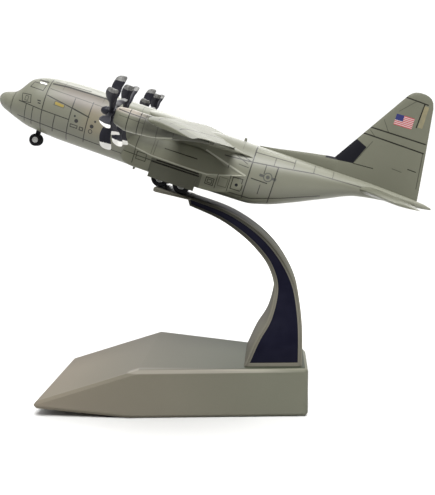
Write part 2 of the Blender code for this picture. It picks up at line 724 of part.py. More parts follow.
make_plinth()
make_arm()
make_cradle()
wing_cutter = piece("wing_cutter", loft_mesh("wing_cutter", wing_rings(FIT)), None, AIRCRAFT, cutter=True)
body_rings = fuselage_rings(FUSELAGE_SECTIONS[0][0], FUSELAGE_SECTIONS[-1][0], FIT)
body_cutter = piece("body_cutter", loft_mesh("body_cutter", body_rings), None, AIRCRAFT, cutter=True)
make_fuselage(wing_cutter)
piece("wing", loft_mesh("wing", wing_rings()), PAINT, AIRCRAFT)
make_tail(body_cutter)
for engine in ENGINES:
    make_engine(*engine, wing_cutter)
for gear_side_name, gear_side in SIDES:
    make_sponson(gear_side_name, gear_side, body_cutter)
    make_main_gear(gear_side_name, gear_side)
make_nose_gear(body_cutter)
make_antennas(body_cutter)
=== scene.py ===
# A four-propeller transport plane as a desk model, held nose up on its display stand.
# Tables are in millimetres, meshes in metres. The nose points to -X, port is -Y and up is +Z.
import math

import bpy
import numpy as np
from mathutils import Matrix, Vector


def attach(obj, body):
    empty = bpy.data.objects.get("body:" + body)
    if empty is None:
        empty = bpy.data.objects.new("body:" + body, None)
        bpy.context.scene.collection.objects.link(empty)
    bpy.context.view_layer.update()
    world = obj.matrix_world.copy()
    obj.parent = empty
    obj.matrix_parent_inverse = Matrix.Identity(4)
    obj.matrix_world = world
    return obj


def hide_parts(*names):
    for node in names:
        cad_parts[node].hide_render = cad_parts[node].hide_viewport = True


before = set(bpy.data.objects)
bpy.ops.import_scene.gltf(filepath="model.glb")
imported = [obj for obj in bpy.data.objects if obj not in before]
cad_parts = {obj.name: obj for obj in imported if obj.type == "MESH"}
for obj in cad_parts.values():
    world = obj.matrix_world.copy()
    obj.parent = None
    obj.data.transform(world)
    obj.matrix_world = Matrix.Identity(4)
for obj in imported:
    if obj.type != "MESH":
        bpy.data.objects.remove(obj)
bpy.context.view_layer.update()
mm = 0.001

# How the aircraft sits: s runs aft from near the nose tip, y to starboard, h up
attitude = {"pitch": math.radians(18.3), "nose": (-67.6, 0.0, 119.3)}
sides = ((-1.0, "port"), (1.0, "starboard"))


def toPart(s, y, h):
    # Turned by the pitch about the nose tip and moved there, in metres
    s, y, h = np.broadcast_arrays(s, y, h)
    cosP, sinP = math.cos(attitude["pitch"]), math.sin(attitude["pitch"])
    noseX, noseY, noseZ = attitude["nose"]
    return np.stack([noseX + s * cosP + h * sinP, noseY + y, noseZ - s * sinP + h * cosP], -1) * mm


def flow(table, at):
    # Monotone cubic through a table's rows, station first: each slope is the harmonic mean of its two chords.
    # Gives one array for each further column of the table
    table, at = np.asarray(table, float), np.asarray(at, float)
    x, y = table[:, 0], table[:, 1:]
    gap = np.diff(x)[:, None]
    chord = np.diff(y, axis=0) / gap
    product = chord[1:] * chord[:-1]
    total = np.where(product > 0, chord[1:] + chord[:-1], 1.0)
    slope = np.vstack([chord[:1], np.where(product > 0, 2.0 * product / total, 0.0), chord[-1:]])
    i = np.clip(np.searchsorted(x, at, side="right") - 1, 0, len(x) - 2)
    t = np.clip((at - x[i]) / gap[i, 0], 0.0, 1.0)[..., None]
    values = (
        (1 + 2 * t) * (1 - t) ** 2 * y[i]
        + t * (1 - t) ** 2 * gap[i] * slope[i]
        + t * t * (3 - 2 * t) * y[i + 1]
        + t * t * (t - 1) * gap[i] * slope[i + 1]
    )
    return np.moveaxis(values, -1, 0)


def straight(table, at):
    # The same with straight lines between the rows
    stations, *rest = np.array(table).T
    return [np.interp(at, stations, values) for values in rest]


def signedPower(value, power):
    return np.sign(value) * np.abs(value) ** power


def oval(half, top, bottom, angle, power):
    # Superellipse about the middle height: half width times sin, half height times cos, each to the power
    y = half * signedPower(np.sin(angle), power)
    return y, (top + bottom) / 2 + (top - bottom) / 2 * signedPower(np.cos(angle), power)


def ringAngles(count):
    return np.linspace(0.0, 2.0 * math.pi, count, endpoint=False)


def foil(count):
    # Outline of a wing section, share of the chord aft and of the thickness up, over the top and back under
    aft = 0.5 * (1.0 - np.cos(np.linspace(0.0, math.pi, count // 2 + 1)))
    thick = 1.48 * np.sqrt(aft) - 0.63 * aft - 1.758 * aft**2 + 1.4215 * aft**3 - 0.5075 * aft**4
    thick = np.maximum(thick, 0.012 * aft)
    return np.concatenate([aft, aft[-2:0:-1]]), np.concatenate([1.15 * thick, -0.85 * thick[-2:0:-1]])


def skin(name, points, material, body="root", instead=None, wrap=True, loop=False,
         sharp=38.0, measure=None, flip=None):
    # Joins a grid of points, rows by columns, with quads. wrap closes each row, and loop joins the last row to
    # the first instead of capping both. Faces are turned by the sign of the enclosed volume
    rows, columns = points.shape[:2]
    i, j = np.meshgrid(np.arange(rows if loop else rows - 1), np.arange(columns if wrap else columns - 1),
                       indexing="ij")
    nextI, nextJ = (i + 1) % rows, (j + 1) % columns
    quads = np.stack([i * columns + j, i * columns + nextJ, nextI * columns + nextJ, nextI * columns + j], -1)
    quads = quads.reshape(-1, 4)
    verts = points.reshape(-1, 3)
    if flip is None:
        a, b, c, d = (verts[quads[:, k]] for k in range(4))
        flip = np.einsum("ij,ij->", a, np.cross(b, c)) + np.einsum("ij,ij->", a, np.cross(c, d)) < 0
    if flip:
        quads = quads[:, ::-1]
    faces = quads.tolist()
    if wrap and not loop:
        first, last = list(range(columns)), list(range((rows - 1) * columns, rows * columns))
        faces += [first if flip else first[::-1], last[::-1] if flip else last]
    mesh = bpy.data.meshes.new(name)
    mesh.from_pydata(verts.tolist(), [], faces)
    mesh.materials.append(material)
    for label, values in (measure or {}).items():
        attribute = mesh.attributes.new(label, "FLOAT", "POINT")
        attribute.data.foreach_set("value", np.ravel(values).astype(np.float32))
    mesh.shade_smooth()
    mesh.set_sharp_from_angle(angle=math.radians(sharp))
    made = bpy.data.objects.new(name, mesh)
    bpy.context.scene.collection.objects.link(made)
    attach(made, body)
    if instead:
        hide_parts(instead)
    return made


# Shader maths: a Signal is a socket, and its operators add Math nodes to its finish
class Signal:
    def __init__(self, finish, socket):
        self.finish, self.socket = finish, socket

    def math(self, operation, *others, swap=False):
        inputs = [self, *others]
        return self.finish.add("ShaderNodeMath", {"operation": operation}, inputs[::-1] if swap else inputs)

    def __add__(self, other): return self.math("ADD", other)
    def __radd__(self, other): return self.math("ADD", other)
    def __sub__(self, other): return self.math("SUBTRACT", other)
    def __rsub__(self, other): return self.math("SUBTRACT", other, swap=True)
    def __mul__(self, other): return self.math("MULTIPLY", other)
    def __rmul__(self, other): return self.math("MULTIPLY", other)
    def __truediv__(self, other): return self.math("DIVIDE", other)
    def __gt__(self, other): return self.math("GREATER_THAN", other)
    def __lt__(self, other): return self.math("LESS_THAN", other)
    def __or__(self, other): return self.math("MAXIMUM", other)
    def near(self, middle, reach): return self.math("COMPARE", middle, reach)
    def size(self): return self.math("ABSOLUTE")


class Finish:
    # The nodes of a material, or of the sky where one is given. Colours are red, green and blue
    def __init__(self, name, constants, sky=None):
        self.owner = sky or bpy.data.materials.new(name)
        self.owner.use_nodes = True
        self.tree = self.owner.node_tree
        self.shader = self.tree.nodes["Background" if sky else "Principled BSDF"]
        for key, value in constants.items():
            self.shader.inputs[key].default_value = value

    def feed(self, socket, value):
        if isinstance(value, Signal):
            self.tree.links.new(value.socket, socket)
        else:
            socket.default_value = (*value, 1.0) if socket.type == "RGBA" else value

    def add(self, kind, settings=None, inputs=(), output=0):
        node = self.tree.nodes.new(kind)
        for key, value in (settings or {}).items():
            setattr(node, key, value)
        for key, value in (inputs.items() if isinstance(inputs, dict) else enumerate(inputs)):
            self.feed(node.inputs[key], value)
        return Signal(self, node.outputs[output])

    def drive(self, key, value):
        self.feed(self.shader.inputs[key], value)

    def blend(self, share, below, above):
        return self.add("ShaderNodeMix", {"data_type": "RGBA"}, {0: share, 6: below, 7: above}, 2)

    def fade(self, value, start, end, low=0.0, high=1.0):
        # low at the start and high at the end, straight between them
        return self.add("ShaderNodeMapRange", None, {"Value": value, "From Min": start, "From Max": end,
                                                     "To Min": low, "To Max": high})

    def place(self):
        return self.add("ShaderNodeTexCoord", output=3)

    def noise(self, scale, detail=3.0, roughness=0.5):
        return self.add("ShaderNodeTexNoise", None, {"Vector": self.place(), "Scale": scale, "Detail": detail,
                                                     "Roughness": roughness})

    def split(self, vector):
        return [self.add("ShaderNodeSeparateXYZ", None, [vector], k) for k in range(3)]

    def partAxes(self):
        # x, y and z of the part in millimetres
        return self.split(self.add("ShaderNodeMapping", None, {0: self.place(), 3: (1 / mm, 1 / mm, 1 / mm)}))

    def aircraftAxes(self):
        # Undoes the pitch, so that the three signals are s, y and h in millimetres
        pitch = attitude["pitch"]
        shift = -(Matrix.Rotation(-pitch, 3, "Y") @ Vector(attitude["nose"]))
        return self.split(self.add("ShaderNodeMapping", None, {0: self.place(), 1: shift, 2: (0.0, -pitch, 0.0),
                                                               3: (1 / mm, 1 / mm, 1 / mm)}))

    def shaded(self, colour, axes, rows):
        # Blends each row's colour in by its share, times a fade along an axis for each of its limits
        for share, shade, *limits in rows:
            for axis, *fade in limits:
                share = share * self.fade(axes[axis], *fade)
            colour = self.blend(share, colour, shade)
        return colour

    def bumpFrom(self, height, strength, distance):
        self.drive("Normal", self.add("ShaderNodeBump", None, {"Strength": strength, "Distance": distance,
                                                              "Height": height}))


paintLook = {
    "base": (0.140, 0.141, 0.105),
    "light": (0.166, 0.168, 0.127),
    "dark": (0.112, 0.113, 0.084),
    "wash": (0.012, 0.011, 0.008),
    "black": (0.004, 0.004, 0.007),
    # Light colour of the painted highlights drawn along edges
    "wearAndHighlight": (0.34, 0.34, 0.28),
    "roughness": 0.48,
    "lineSpread": 1.2,  # engraved lines are drawn this much wider than their tables say
    "lineDepth": 1.35,  # and this much deeper
    "cloudScale": 55.0, "grainScale": 2600.0, "wearScale": 420.0,
}


def seams(finish, across, along, rows, panels=()):
    # Engraved lines. A row is a half width, a depth from 0 to 1 and then the corners of a path, two numbers
    # each. A panel is a half width, a depth, left, low, right and high, and its four sides are drawn
    rows = [*rows, *((width, depth, left, low, right, low, right, high, left, high, left, low)
                     for width, depth, left, low, right, high in panels)]
    plane = finish.add("ShaderNodeCombineXYZ", None, [across, along, 0.0])
    total = None
    for width, depth, *path in rows:
        corners = np.reshape(path, (-1, 2))
        for start, end in zip(corners, corners[1:]):
            length = float(np.hypot(*(end - start)))
            way = (end - start) / length
            side = np.array([-way[1], way[0]])
            middle = (start + end) / 2
            if abs(way[0]) < 1e-6:
                off, run, offAt, runAt = across, along, float(start[0]), float(middle[1])
            elif abs(way[1]) < 1e-6:
                off, run, offAt, runAt = along, across, float(start[1]), float(middle[0])
            else:
                off, run = (finish.add("ShaderNodeVectorMath", {"operation": "DOT_PRODUCT"},
                                       [plane, (*axis, 0.0)], 1) for axis in (side, way))
                offAt, runAt = float(side @ start), float(way @ middle)
            line = off.near(offAt, width * paintLook["lineSpread"]) * run.near(runAt, length / 2 + width)
            line = line * min(depth * paintLook["lineDepth"], 1.0)
            total = line if total is None else total | line
    return total


def spot(s, h, atS, atH, reach):
    return ((s - atS) * (s - atS) + (h - atH) * (h - atH)) < reach * reach


def paint(name, draw=None, gloss=0.3):
    # Satin grey-green with broad cloudy patches, dust-fine grain and dark wash in the engraved lines
    finish = Finish(name, {"Specular IOR Level": gloss})
    cloud = finish.noise(paintLook["cloudScale"], 4.0)
    colour = finish.blend(cloud, paintLook["dark"], paintLook["light"])
    colour = finish.blend(0.45, paintLook["base"], colour)
    height = finish.noise(paintLook["grainScale"], 2.0) * 0.12
    if draw:
        colour, lines = draw(finish, colour, *finish.aircraftAxes())
        patchiness = 0.72 + 0.55 * finish.noise(paintLook["wearScale"], 3.0)
        colour = finish.blend(lines * patchiness, colour, paintLook["wash"])
        height = height - lines * 0.8
    finish.drive("Base Color", colour)
    finish.drive("Roughness", paintLook["roughness"] + (cloud - 0.5) * 0.16)
    finish.bumpFrom(height, 0.35, 0.00012)
    return finish.owner


def castMetal(name, low, high, metallic, roughness, tone=None, specular=0.14):
    # Fine metallic lacquer: tiny flakes vary the colour and the gloss, and tone changes it from place to place
    finish = Finish(name, {"Metallic": metallic, "Specular IOR Level": specular})
    flake = finish.noise(3200.0, 2.0, 0.6)
    cloud = finish.noise(24.0, 3.0)
    colour = finish.blend(flake * 0.5 + cloud * 0.5, low, high)
    finish.drive("Base Color", tone(finish, colour) if tone else colour)
    finish.drive("Roughness", roughness + (flake - 0.5) * 0.1 + (cloud - 0.5) * 0.05)
    finish.bumpFrom(flake, 0.12, 0.00006)
    return finish.owner


def gloss(name, low, high, roughness, change=0.12, specular=0.06, scale=300.0,
          bump=(0.1, 0.00005), detail=3.0):
    # Plain moulding or rubber: one noise varies the colour and the roughness
    finish = Finish(name, {"Specular IOR Level": specular})
    smear = finish.noise(scale, detail)
    finish.drive("Base Color", finish.blend(smear, low, high))
    finish.drive("Roughness", roughness + smear * change)
    finish.bumpFrom(smear, *bump)
    return finish.owner


hull = {
    # s, half width, top, bottom
    "sections": (
        (-0.7, 0.05, 0.8, 0.7), (-0.55, 0.95, 1.6, 0.0), (-0.3, 1.55, 2.1, -0.6), (0.0, 2.1, 2.55, -1.1),
        (0.6, 2.9, 3.1, -1.75), (1.5, 3.9, 3.6, -2.45), (3.0, 5.1, 4.15, -3.15), (5.0, 6.2, 4.85, -3.9),
        (6.4, 6.85, 6.0, -4.45), (7.6, 7.4, 7.5, -4.9), (9.4, 8.2, 10.1, -5.5), (10.4, 8.5, 11.3, -5.85),
        (11.5, 8.8, 12.0, -6.2), (14.5, 9.6, 13.3, -6.8), (17.5, 10.1, 14.0, -7.1), (20.0, 10.5, 14.45, -7.35),
        (26.0, 10.8, 15.1, -7.8), (32.0, 10.8, 15.3, -7.95), (44.0, 10.8, 15.2, -8.2), (60.0, 10.8, 15.0, -8.6),
        (70.5, 10.8, 14.9, -8.6), (74.5, 10.8, 13.6, -8.6), (80.0, 10.8, 13.0, -8.6), (84.0, 10.8, 14.1, -8.6),
        (102.0, 10.8, 14.0, -8.5), (110.3, 10.6, 14.0, -6.7), (120.0, 9.8, 13.9, -2.8), (130.0, 8.5, 13.8, 1.8),
        (143.0, 6.0, 13.7, 7.3), (157.0, 3.3, 13.1, 9.3), (168.0, 1.3, 12.4, 10.4), (171.6, 0.3, 11.6, 11.0),
    ),
    "power": ((0.0, 2.0), (100.0, 2.0), (122.0, 2.5), (172.0, 2.5)),
    "radomeEnd": 5.95,
    "around": 144,
    # Lines on the sides in s and h: frames from the nose aft, then the lines along the fuselage
    "lines": (
        (0.10, 0.5, 6.2, -5.0, 6.2, 6.0), (0.16, 0.9, 19.2, -6.4, 18.6, 13.4),
        (0.13, 0.8, 12.3, -4.6, 12.3, 1.8), (0.13, 0.8, 15.3, -5.0, 15.3, 1.5),
        (0.15, 0.9, 24.2, -5.0, 24.4, 1.4), (0.15, 0.9, 29.9, -6.5, 29.9, 9.5),
        (0.15, 0.8, 36.8, -5.2, 36.8, 10.2), (0.13, 0.7, 45.5, -5.2, 45.5, 9.4),
        (0.13, 0.7, 92.9, -6.5, 92.9, 4.0), (0.18, 0.9, 101.0, -6.6, 101.0, 14.2),
        (0.13, 0.8, 106.3, -3.2, 106.3, 0.4), (0.13, 0.8, 106.4, 4.9, 106.4, 8.2),
        (0.18, 0.9, 110.9, -5.6, 110.9, 8.8), (0.12, 0.6, 109.1, 8.8, 109.1, 11.6),
        (0.12, 0.6, 116.4, 10.0, 116.4, 13.4), (0.12, 0.6, 124.1, 10.7, 124.1, 13.4),
        (0.12, 0.5, 131.5, 10.8, 131.5, 13.4), (0.24, 1.0, 19.5, 12.2, 25.0, 12.75, 34.0, 12.95),
        (0.2, 0.9, 34.0, 12.95, 49.0, 13.1), (0.14, 0.5, 20.0, 13.2, 34.0, 13.8),
        (0.2, 1.0, 13.6, 11.95, 17.4, 12.15),
        (0.12, 0.8, 12.1, 10.7, 17.4, 11.0, 17.0, 8.6, 11.5, 8.6, 12.1, 10.7),
        (0.12, 0.8, 9.5, 5.3, 13.1, 5.7, 13.9, 2.8, 10.4, 2.4, 9.5, 5.3),
        (0.15, 0.9, 9.0, 2.3, 19.0, 1.6, 29.9, 1.3), (0.15, 0.85, 9.4, -3.3, 43.5, -4.4),
        (0.17, 1.0, 19.4, 7.5, 29.9, 5.8), (0.22, 1.0, 29.9, 5.8, 37.0, 4.5),
        (0.12, 0.5, 19.4, 10.2, 48.0, 9.6), (0.15, 0.9, 90.3, 7.0, 99.4, 7.5),
        (0.17, 0.9, 99.4, 7.5, 110.9, 8.8), (0.15, 0.7, 110.9, 8.8, 124.6, 10.7),
        (0.13, 0.6, 124.6, 10.7, 146.0, 11.3), (0.13, 0.6, 101.2, 11.5, 116.2, 12.1),
        (0.17, 0.9, 102.4, 1.8, 108.5, 1.7),
        (0.15, 0.9, 94.3, -6.2, 104.0, -5.9, 115.0, -2.2, 129.0, 3.3),
        (0.15, 0.8, 44.0, -4.6, 53.0, -4.8), (0.13, 0.7, 95.6, 9.2, 100.6, 7.6),
        (0.13, 0.6, 94.8, 8.2, 99.4, 6.4), (0.12, 0.6, 96.4, 5.4, 100.2, 5.2),
    ),
    "panels": (
        (0.1, 0.6, 11.2, 3.2, 12.4, 4.9), (0.15, 0.9, 95.5, -4.5, 99.6, 0.3),
        (0.14, 0.9, 30.9, -1.0, 33.6, 0.0), (0.16, 0.9, 34.6, -1.2, 35.9, -0.1),
        (0.13, 0.7, 86.5, -4.9, 89.4, -1.9), (0.08, 0.6, 22.9, 4.85, 26.9, 6.3),
    ),
    # Lines along the roof: distance from the middle, from s, to s, depth. Lines across it: s, half width
    "roofLines": ((3.4, 28.0, 96.0, 0.45), (4.6, 100.0, 126.0, 0.5)),
    "roofFrames": ((75.0, 0.12), (24.0, 0.1), (40.0, 0.1), (48.0, 0.1), (55.0, 0.1), (96.0, 0.1)),
    # Share and colour, then fades: axis, start, end, and the values there where they aren't 0 and 1.
    # In turn: painted shade below the wing, warm behind the cockpit, patchy painted light on the roof, a painted
    # highlight on the aft roof, tan by the crew door
    "shading": (
        (0.55, (0.030, 0.030, 0.022), ("s", 50.0, 57.0), ("s", 78.0, 67.0), ("h", 0.5, 2.5), ("h", 10.5, 8.5)),
        (0.8, (0.108, 0.087, 0.070), ("s", 18.0, 27.0), ("s", 48.0, 39.0), ("h", 5.0, 8.5), ("h", 14.2, 12.2)),
        (1.0, (0.43, 0.43, 0.39), ("h", 12.9, 13.8), ("s", 17.0, 22.0), ("s", 44.0, 62.0, 1.0, 0.2),
         ("s", 99.0, 92.0), ("out", 3.2, 5.6, 0.3, 1.0), ("patchiness", 0.0, 1.0, 0.66, 0.96)),
        (0.3, (0.30, 0.30, 0.245), ("h", 10.0, 12.0), ("s", 98.0, 106.0)),
        (0.38, (0.21, 0.162, 0.095), ("s", 32.5, 37.5), ("s", 48.5, 43.5), ("h", -3.5, 0.5), ("h", 10.5, 6.5)),
    ),
    # The gear fairing's upper edge, from s and h to s and h
    "ridge": (83.1, 6.62, 99.8, 2.0),
    # Colour of the painted shade below the ridge
    "shadeBelowRidge": (0.070, 0.071, 0.053),
    # Round windows: s, h, radius. Slots: s, h, half length
    "dots": ((32.8, 1.7, 0.75), (39.0, 1.5, 0.75), (31.8, 3.3, 0.4), (39.8, 3.6, 0.42)),
    "slots": ((16.9, 4.6, 0.7), (17.2, 3.7, 0.6)),
    "socket": (38.9, -0.5, 0.85, 0.55),
    "roundel": {"at": (108.2, 4.0), "outer": 1.75, "inner": 1.38, "core": 0.72, "bar": (3.3, 0.5),
                "colour": (0.030, 0.032, 0.034)},
    "patch": {"at": (24.9, 5.55), "half": (1.75, 0.55), "slope": 0.1, "colour": (0.26, 0.19, 0.02)},
}


def drawHull(finish, colour, s, y, h):
    out = y.size()
    lines = seams(finish, s, h, hull["lines"], hull["panels"])
    for off, start, end, depth in hull["roofLines"]:
        lines = lines | (out.near(off, 0.12) * (h > 9.0) * (s > start) * (s < end) * depth)
    for middle, reach in hull["roofFrames"]:
        lines = lines | (s.near(middle, reach) * (h > 11.0) * 0.5)
    axes = {"s": s, "h": h, "out": out, "patchiness": finish.noise(260.0, 3.0)}
    colour = finish.shaded(colour, axes, hull["shading"])
    # The gear fairing's upper edge runs down the side to its tail, with a painted highlight along its ridge and
    # painted shade below it
    startS, startH, endS, endH = hull["ridge"]
    fall = (startH - endH) / (endS - startS)
    below = (s > startS - 0.6) * (s < endS + 0.1) * ((h + (s - startS) * fall) < startH) * (h > 1.0)
    colour = finish.blend(below * 0.12, colour, hull["shadeBelowRidge"])
    colour = finish.blend(seams(finish, s, h, [(0.26, 0.9, *hull["ridge"])]) * 0.8, colour, paintLook["wearAndHighlight"])
    atS, atH, outer, inner = hull["socket"]
    dots = spot(s, h, atS, atH, outer) * (1.0 - spot(s, h, atS, atH, inner))
    for dot in hull["dots"]:
        dots = dots | spot(s, h, *dot)
    for atS, atH, half in hull["slots"]:
        dots = dots | (s.near(atS, half) * h.near(atH, 0.22))
    colour = finish.blend(dots * 0.97, colour, paintLook["black"])
    roundel = hull["roundel"]
    atS, atH = roundel["at"]
    outer, inner, core = (spot(s, h, atS, atH, roundel[key]) for key in ("outer", "inner", "core"))
    bars = s.near(atS, roundel["bar"][0]) * h.near(atH, roundel["bar"][1]) * (1.0 - outer)
    colour = finish.blend((outer * (1.0 - inner) | bars | core) * 0.8, colour, roundel["colour"])
    patch = hull["patch"]
    (atS, atH), (halfS, halfH) = patch["at"], patch["half"]
    mark = s.near(atS, halfS) * (h + (s - atS) * patch["slope"]).near(atH, halfH)
    mark = mark * (finish.noise(1500.0, 2.0) > 0.4)
    return finish.blend(mark * 0.85, colour, patch["colour"]), lines


hullPaint = paint("hullPaint", drawHull, 0.55)
# The cockpit's top pane is near white: a painted reflection of the light from above
paneReflection = gloss("cockpitPaneReflection", (0.80, 0.80, 0.77), (0.88, 0.88, 0.86), 0.10)


def hullPoint(s, angle):
    # An oval at each station, its sine and cosine to 2 / power
    s, angle = np.broadcast_arrays(s, angle)
    power = 2.0 / np.interp(s, *zip(*hull["power"]))
    return np.stack([s, *oval(*flow(hull["sections"], s), angle, power)])


def hullNormal(s, angle):
    step = 0.02
    alongS = hullPoint(s + step, angle) - hullPoint(s - step, angle)
    around = hullPoint(s, angle + step) - hullPoint(s, angle - step)
    normal = np.cross(around, alongS, axis=0)
    return -normal / np.linalg.norm(normal, axis=0)


def makeHull():
    angle = ringAngles(hull["around"])
    tip = hull["sections"][0][0]
    nose = tip + (hull["radomeEnd"] - tip) * np.linspace(0.0, 1.0, 26)[:, None] ** 1.8
    skin("radome", toPart(*hullPoint(nose, angle)), hullPaint, instead="radome")
    s = np.concatenate([np.linspace(6.05, 22.0, 44), np.linspace(24.0, 104.0, 30),
                        np.linspace(105.5, 171.6, 60)])
    skin("fuselage", toPart(*hullPoint(s[:, None], angle)), hullPaint, instead="fuselage")


def hullAngle(s, h, side):
    # The angle from the top at which the section at s stands at height h
    _, top, bottom = flow(hull["sections"], s)
    cosine = (h - (top + bottom) / 2) / ((top - bottom) / 2)
    power = np.interp(s, *zip(*hull["power"])) / 2.0
    return side * math.acos(np.clip(signedPower(cosine, power), -1, 1))


# Cockpit panes: name, then the corners in s and h
panes = {"lift": 0.07, "corners": (("top", (13.9, 11.40), (17.3, 11.62), (17.5, 10.95), (14.5, 10.78)),)}


def makePanes():
    # Each pane is laid on the hull: its corners are blended over a grid in station and angle, then lifted
    for side, word in sides:
        for name, *corners in panes["corners"]:
            at = np.array([(s, hullAngle(s, h, side)) for s, h in corners]).T[:, :, None, None]
            u, v = np.meshgrid(np.linspace(0, 1, 9), np.linspace(0, 1, 7), indexing="ij")
            upper, lower = at[:, 0] * (1 - u) + at[:, 1] * u, at[:, 3] * (1 - u) + at[:, 2] * u
            s, angle = upper * (1 - v) + lower * v
            edge = np.minimum.reduce([u, 1 - u, v, 1 - v])
            lift = panes["lift"] * np.clip(edge * 12.0, 0.0, 1.0) - 0.03
            top = hullPoint(s, angle) + hullNormal(s, angle) * lift
            skin(f"pane_{name}_{word}", toPart(*top), paneReflection, wrap=False, flip=side > 0)


makeHull()
makePanes()
print("fuselage ready")

wing = {
    # y, leading edge s, chord, thickness
    "sections": ((0.0, 68.5, 24.4, 4.3), (27.0, 68.8, 24.2, 4.1), (98.0, 70.5, 14.2, 1.75),
                 (100.0, 71.1, 13.2, 1.6), (100.8, 71.7, 12.0, 1.35), (101.0, 72.2, 10.8, 0.9)),
    "height": 12.5,
    "incidence": math.tan(math.radians(4.3)),
    # Rise of the wing towards its outer panel and its fall to the rounded tip: y, rise
    "rise": ((0.0, 0.0), (60.0, 0.55), (86.0, 0.85), (93.0, 0.72), (98.0, 0.3), (101.0, 0.0)),
    # Lines in s and distance from the middle, and the ribs' distances
    "lines": ((0.16, 0.8, 87.0, 11.0, 86.4, 27.0, 83.0, 57.0), (0.16, 0.8, 83.4, 58.0, 80.0, 97.0),
              (0.12, 0.6, 72.6, 11.0, 73.6, 98.0), (0.16, 0.8, 86.0, 57.5, 78.0, 57.5),
              (0.1, 0.35, 78.0, 11.0, 76.8, 97.0)),
    "ribs": (14.0, 22.0, 27.5, 36.0, 44.5, 55.0, 64.0, 74.0, 84.0, 93.0),
    # Painted shade darkens the wing towards its tips
    "shading": ((0.35, (0.040, 0.041, 0.032), ("out", 91.0, 97.0)),),
}


def drawWing(finish, colour, s, y, h):
    out = y.size()
    ribs = [(0.12, 0.6, 70.0, at, 91.0, at) for at in wing["ribs"]]
    return finish.shaded(colour, {"out": out}, wing["shading"]), seams(finish, s, out, [*wing["lines"], *ribs])


wingPaint = paint("wingPaint", drawWing, 0.04)


def makeWing():
    # Straight taper between the table's rows; each outline is the foil times chord and thickness
    half = np.concatenate([np.linspace(0.0, 27.0, 8), np.linspace(30.0, 98.0, 22),
                           [99.0, 99.6, 100.2, 100.5, 100.8, 100.93, 101.0]])
    span = np.concatenate([-half[:0:-1], half])[:, None]
    lead, chord, thick = straight(wing["sections"], np.abs(span))
    rise, = flow(wing["rise"], np.abs(span))
    aft, up = foil(72)
    h = wing["height"] + rise - wing["incidence"] * chord * aft + thick * up
    skin("wing", toPart(lead + chord * aft, span, h), wingPaint, instead="wing")


# Fairing over the fuselage where the wing passes: s, half width, top, bottom
wingFairing = {"sections": ((57.0, 5.0, 14.3, 11.5), (60.0, 8.0, 14.7, 10.4), (65.0, 10.0, 15.0, 9.4),
                            (71.0, 11.0, 15.0, 8.6), (75.5, 11.2, 13.4, 8.2), (80.0, 11.2, 13.1, 7.8),
                            (85.0, 11.2, 13.0, 7.6), (92.0, 10.75, 11.3, 8.2), (97.0, 10.0, 10.2, 8.8),
                            (100.6, 9.0, 9.4, 9.0))}


def makeWingFairing():
    # An oval at each station
    s = np.linspace(57.0, 100.6, 60)[:, None]
    skin("wingFairing", toPart(s, *oval(*flow(wingFairing["sections"], s), ringAngles(96), 0.8)), hullPaint)


makeWing()
makeWingFairing()

fin = {
    # h, leading edge s, trailing edge s, half thickness
    "sections": ((12.0, 125.6, 165.7, 1.9), (18.6, 130.0, 164.7, 1.8), (32.0, 138.3, 162.5, 1.4),
                 (47.6, 147.9, 159.8, 1.0), (49.8, 149.3, 159.0, 0.85), (51.0, 150.5, 157.9, 0.62),
                 (51.7, 151.9, 156.5, 0.4), (51.9, 153.1, 155.3, 0.2)),
    # The fillet in front of it: s, top, half width
    "fillet": ((101.5, 14.2, 0.15), (108.0, 15.2, 0.45), (116.0, 16.7, 0.8), (124.0, 18.1, 1.05),
               (130.5, 19.0, 1.15), (136.0, 18.4, 0.9), (141.0, 17.0, 0.5)),
    "filletBase": 12.0,
    "lines": (
        (0.22, 1.0, 138.6, 34.0, 161.4, 34.1), (0.22, 1.0, 137.4, 31.1, 161.8, 30.6),
        (0.2, 0.95, 148.4, 48.7, 157.4, 48.4), (0.2, 1.0, 156.1, 48.3, 155.9, 39.1),
        (0.15, 0.7, 137.6, 18.9, 145.3, 19.3), (0.13, 0.4, 152.3, 21.5, 156.1, 21.3),
        (0.15, 0.8, 158.1, 23.1, 161.3, 23.0), (0.12, 0.4, 141.9, 29.0, 137.6, 19.0),
        (0.14, 0.5, 161.6, 30.6, 163.6, 17.0), (0.12, 0.4, 143.4, 38.2, 146.4, 34.2),
        (0.12, 0.4, 139.6, 33.0, 142.0, 31.2), (0.12, 0.35, 152.6, 48.2, 147.8, 43.0),
    ),
    "shading": ((0.4, (0.100, 0.101, 0.076)),),
    "flag": {"left": 147.2, "low": 37.65, "width": 7.1, "height": 4.2, "tilt": 0.02, "pairs": 6.5,
             "pale": (0.44, 0.37, 0.36), "red": (0.36, 0.035, 0.05),
             "corner": (3.0, 1.9), "cornerColour": (0.022, 0.025, 0.11)},
    "tan": (0.30, 0.25, 0.13),
}


def drawFin(finish, colour, s, y, h):
    colour = finish.shaded(colour, {}, fin["shading"])
    # De-icing boot along the leading edge, cut off square at its foot and slanted at its top
    boot = ((h - (s - 127.0) * 0.1) > 17.85) * (s > 126.8) * ((s - h * 0.408) < 129.7)
    boot = boot * ((h + s * 0.436) < 87.5)
    colour = finish.blend(boot, colour, paintLook["black"])
    flag = fin["flag"]
    right = s - flag["left"]
    up = h - right * flag["tilt"] - flag["low"]
    cloth = right.near(flag["width"] / 2, flag["width"] / 2) * up.near(flag["height"] / 2, flag["height"] / 2)
    stripe = (up / (flag["height"] / flag["pairs"])).math("FRACT") < 0.5
    shade = finish.blend(stripe, flag["pale"], flag["red"])
    corner = (right < flag["corner"][0]) * (up > flag["corner"][1])
    shade = finish.blend(corner, shade, flag["cornerColour"])
    colour = finish.blend(cloth * 0.95, colour, shade)
    tan = (s - 157.0 + (h - 44.0) * 0.02).near(0.2, 0.9) * h.near(43.5, 4.2) * finish.noise(300.0, 2.0) * 0.8
    return finish.blend(tan, colour, fin["tan"]), seams(finish, s, h, fin["lines"]) * (1.0 - cloth)


finPaint = paint("finPaint", drawFin, 0.15)


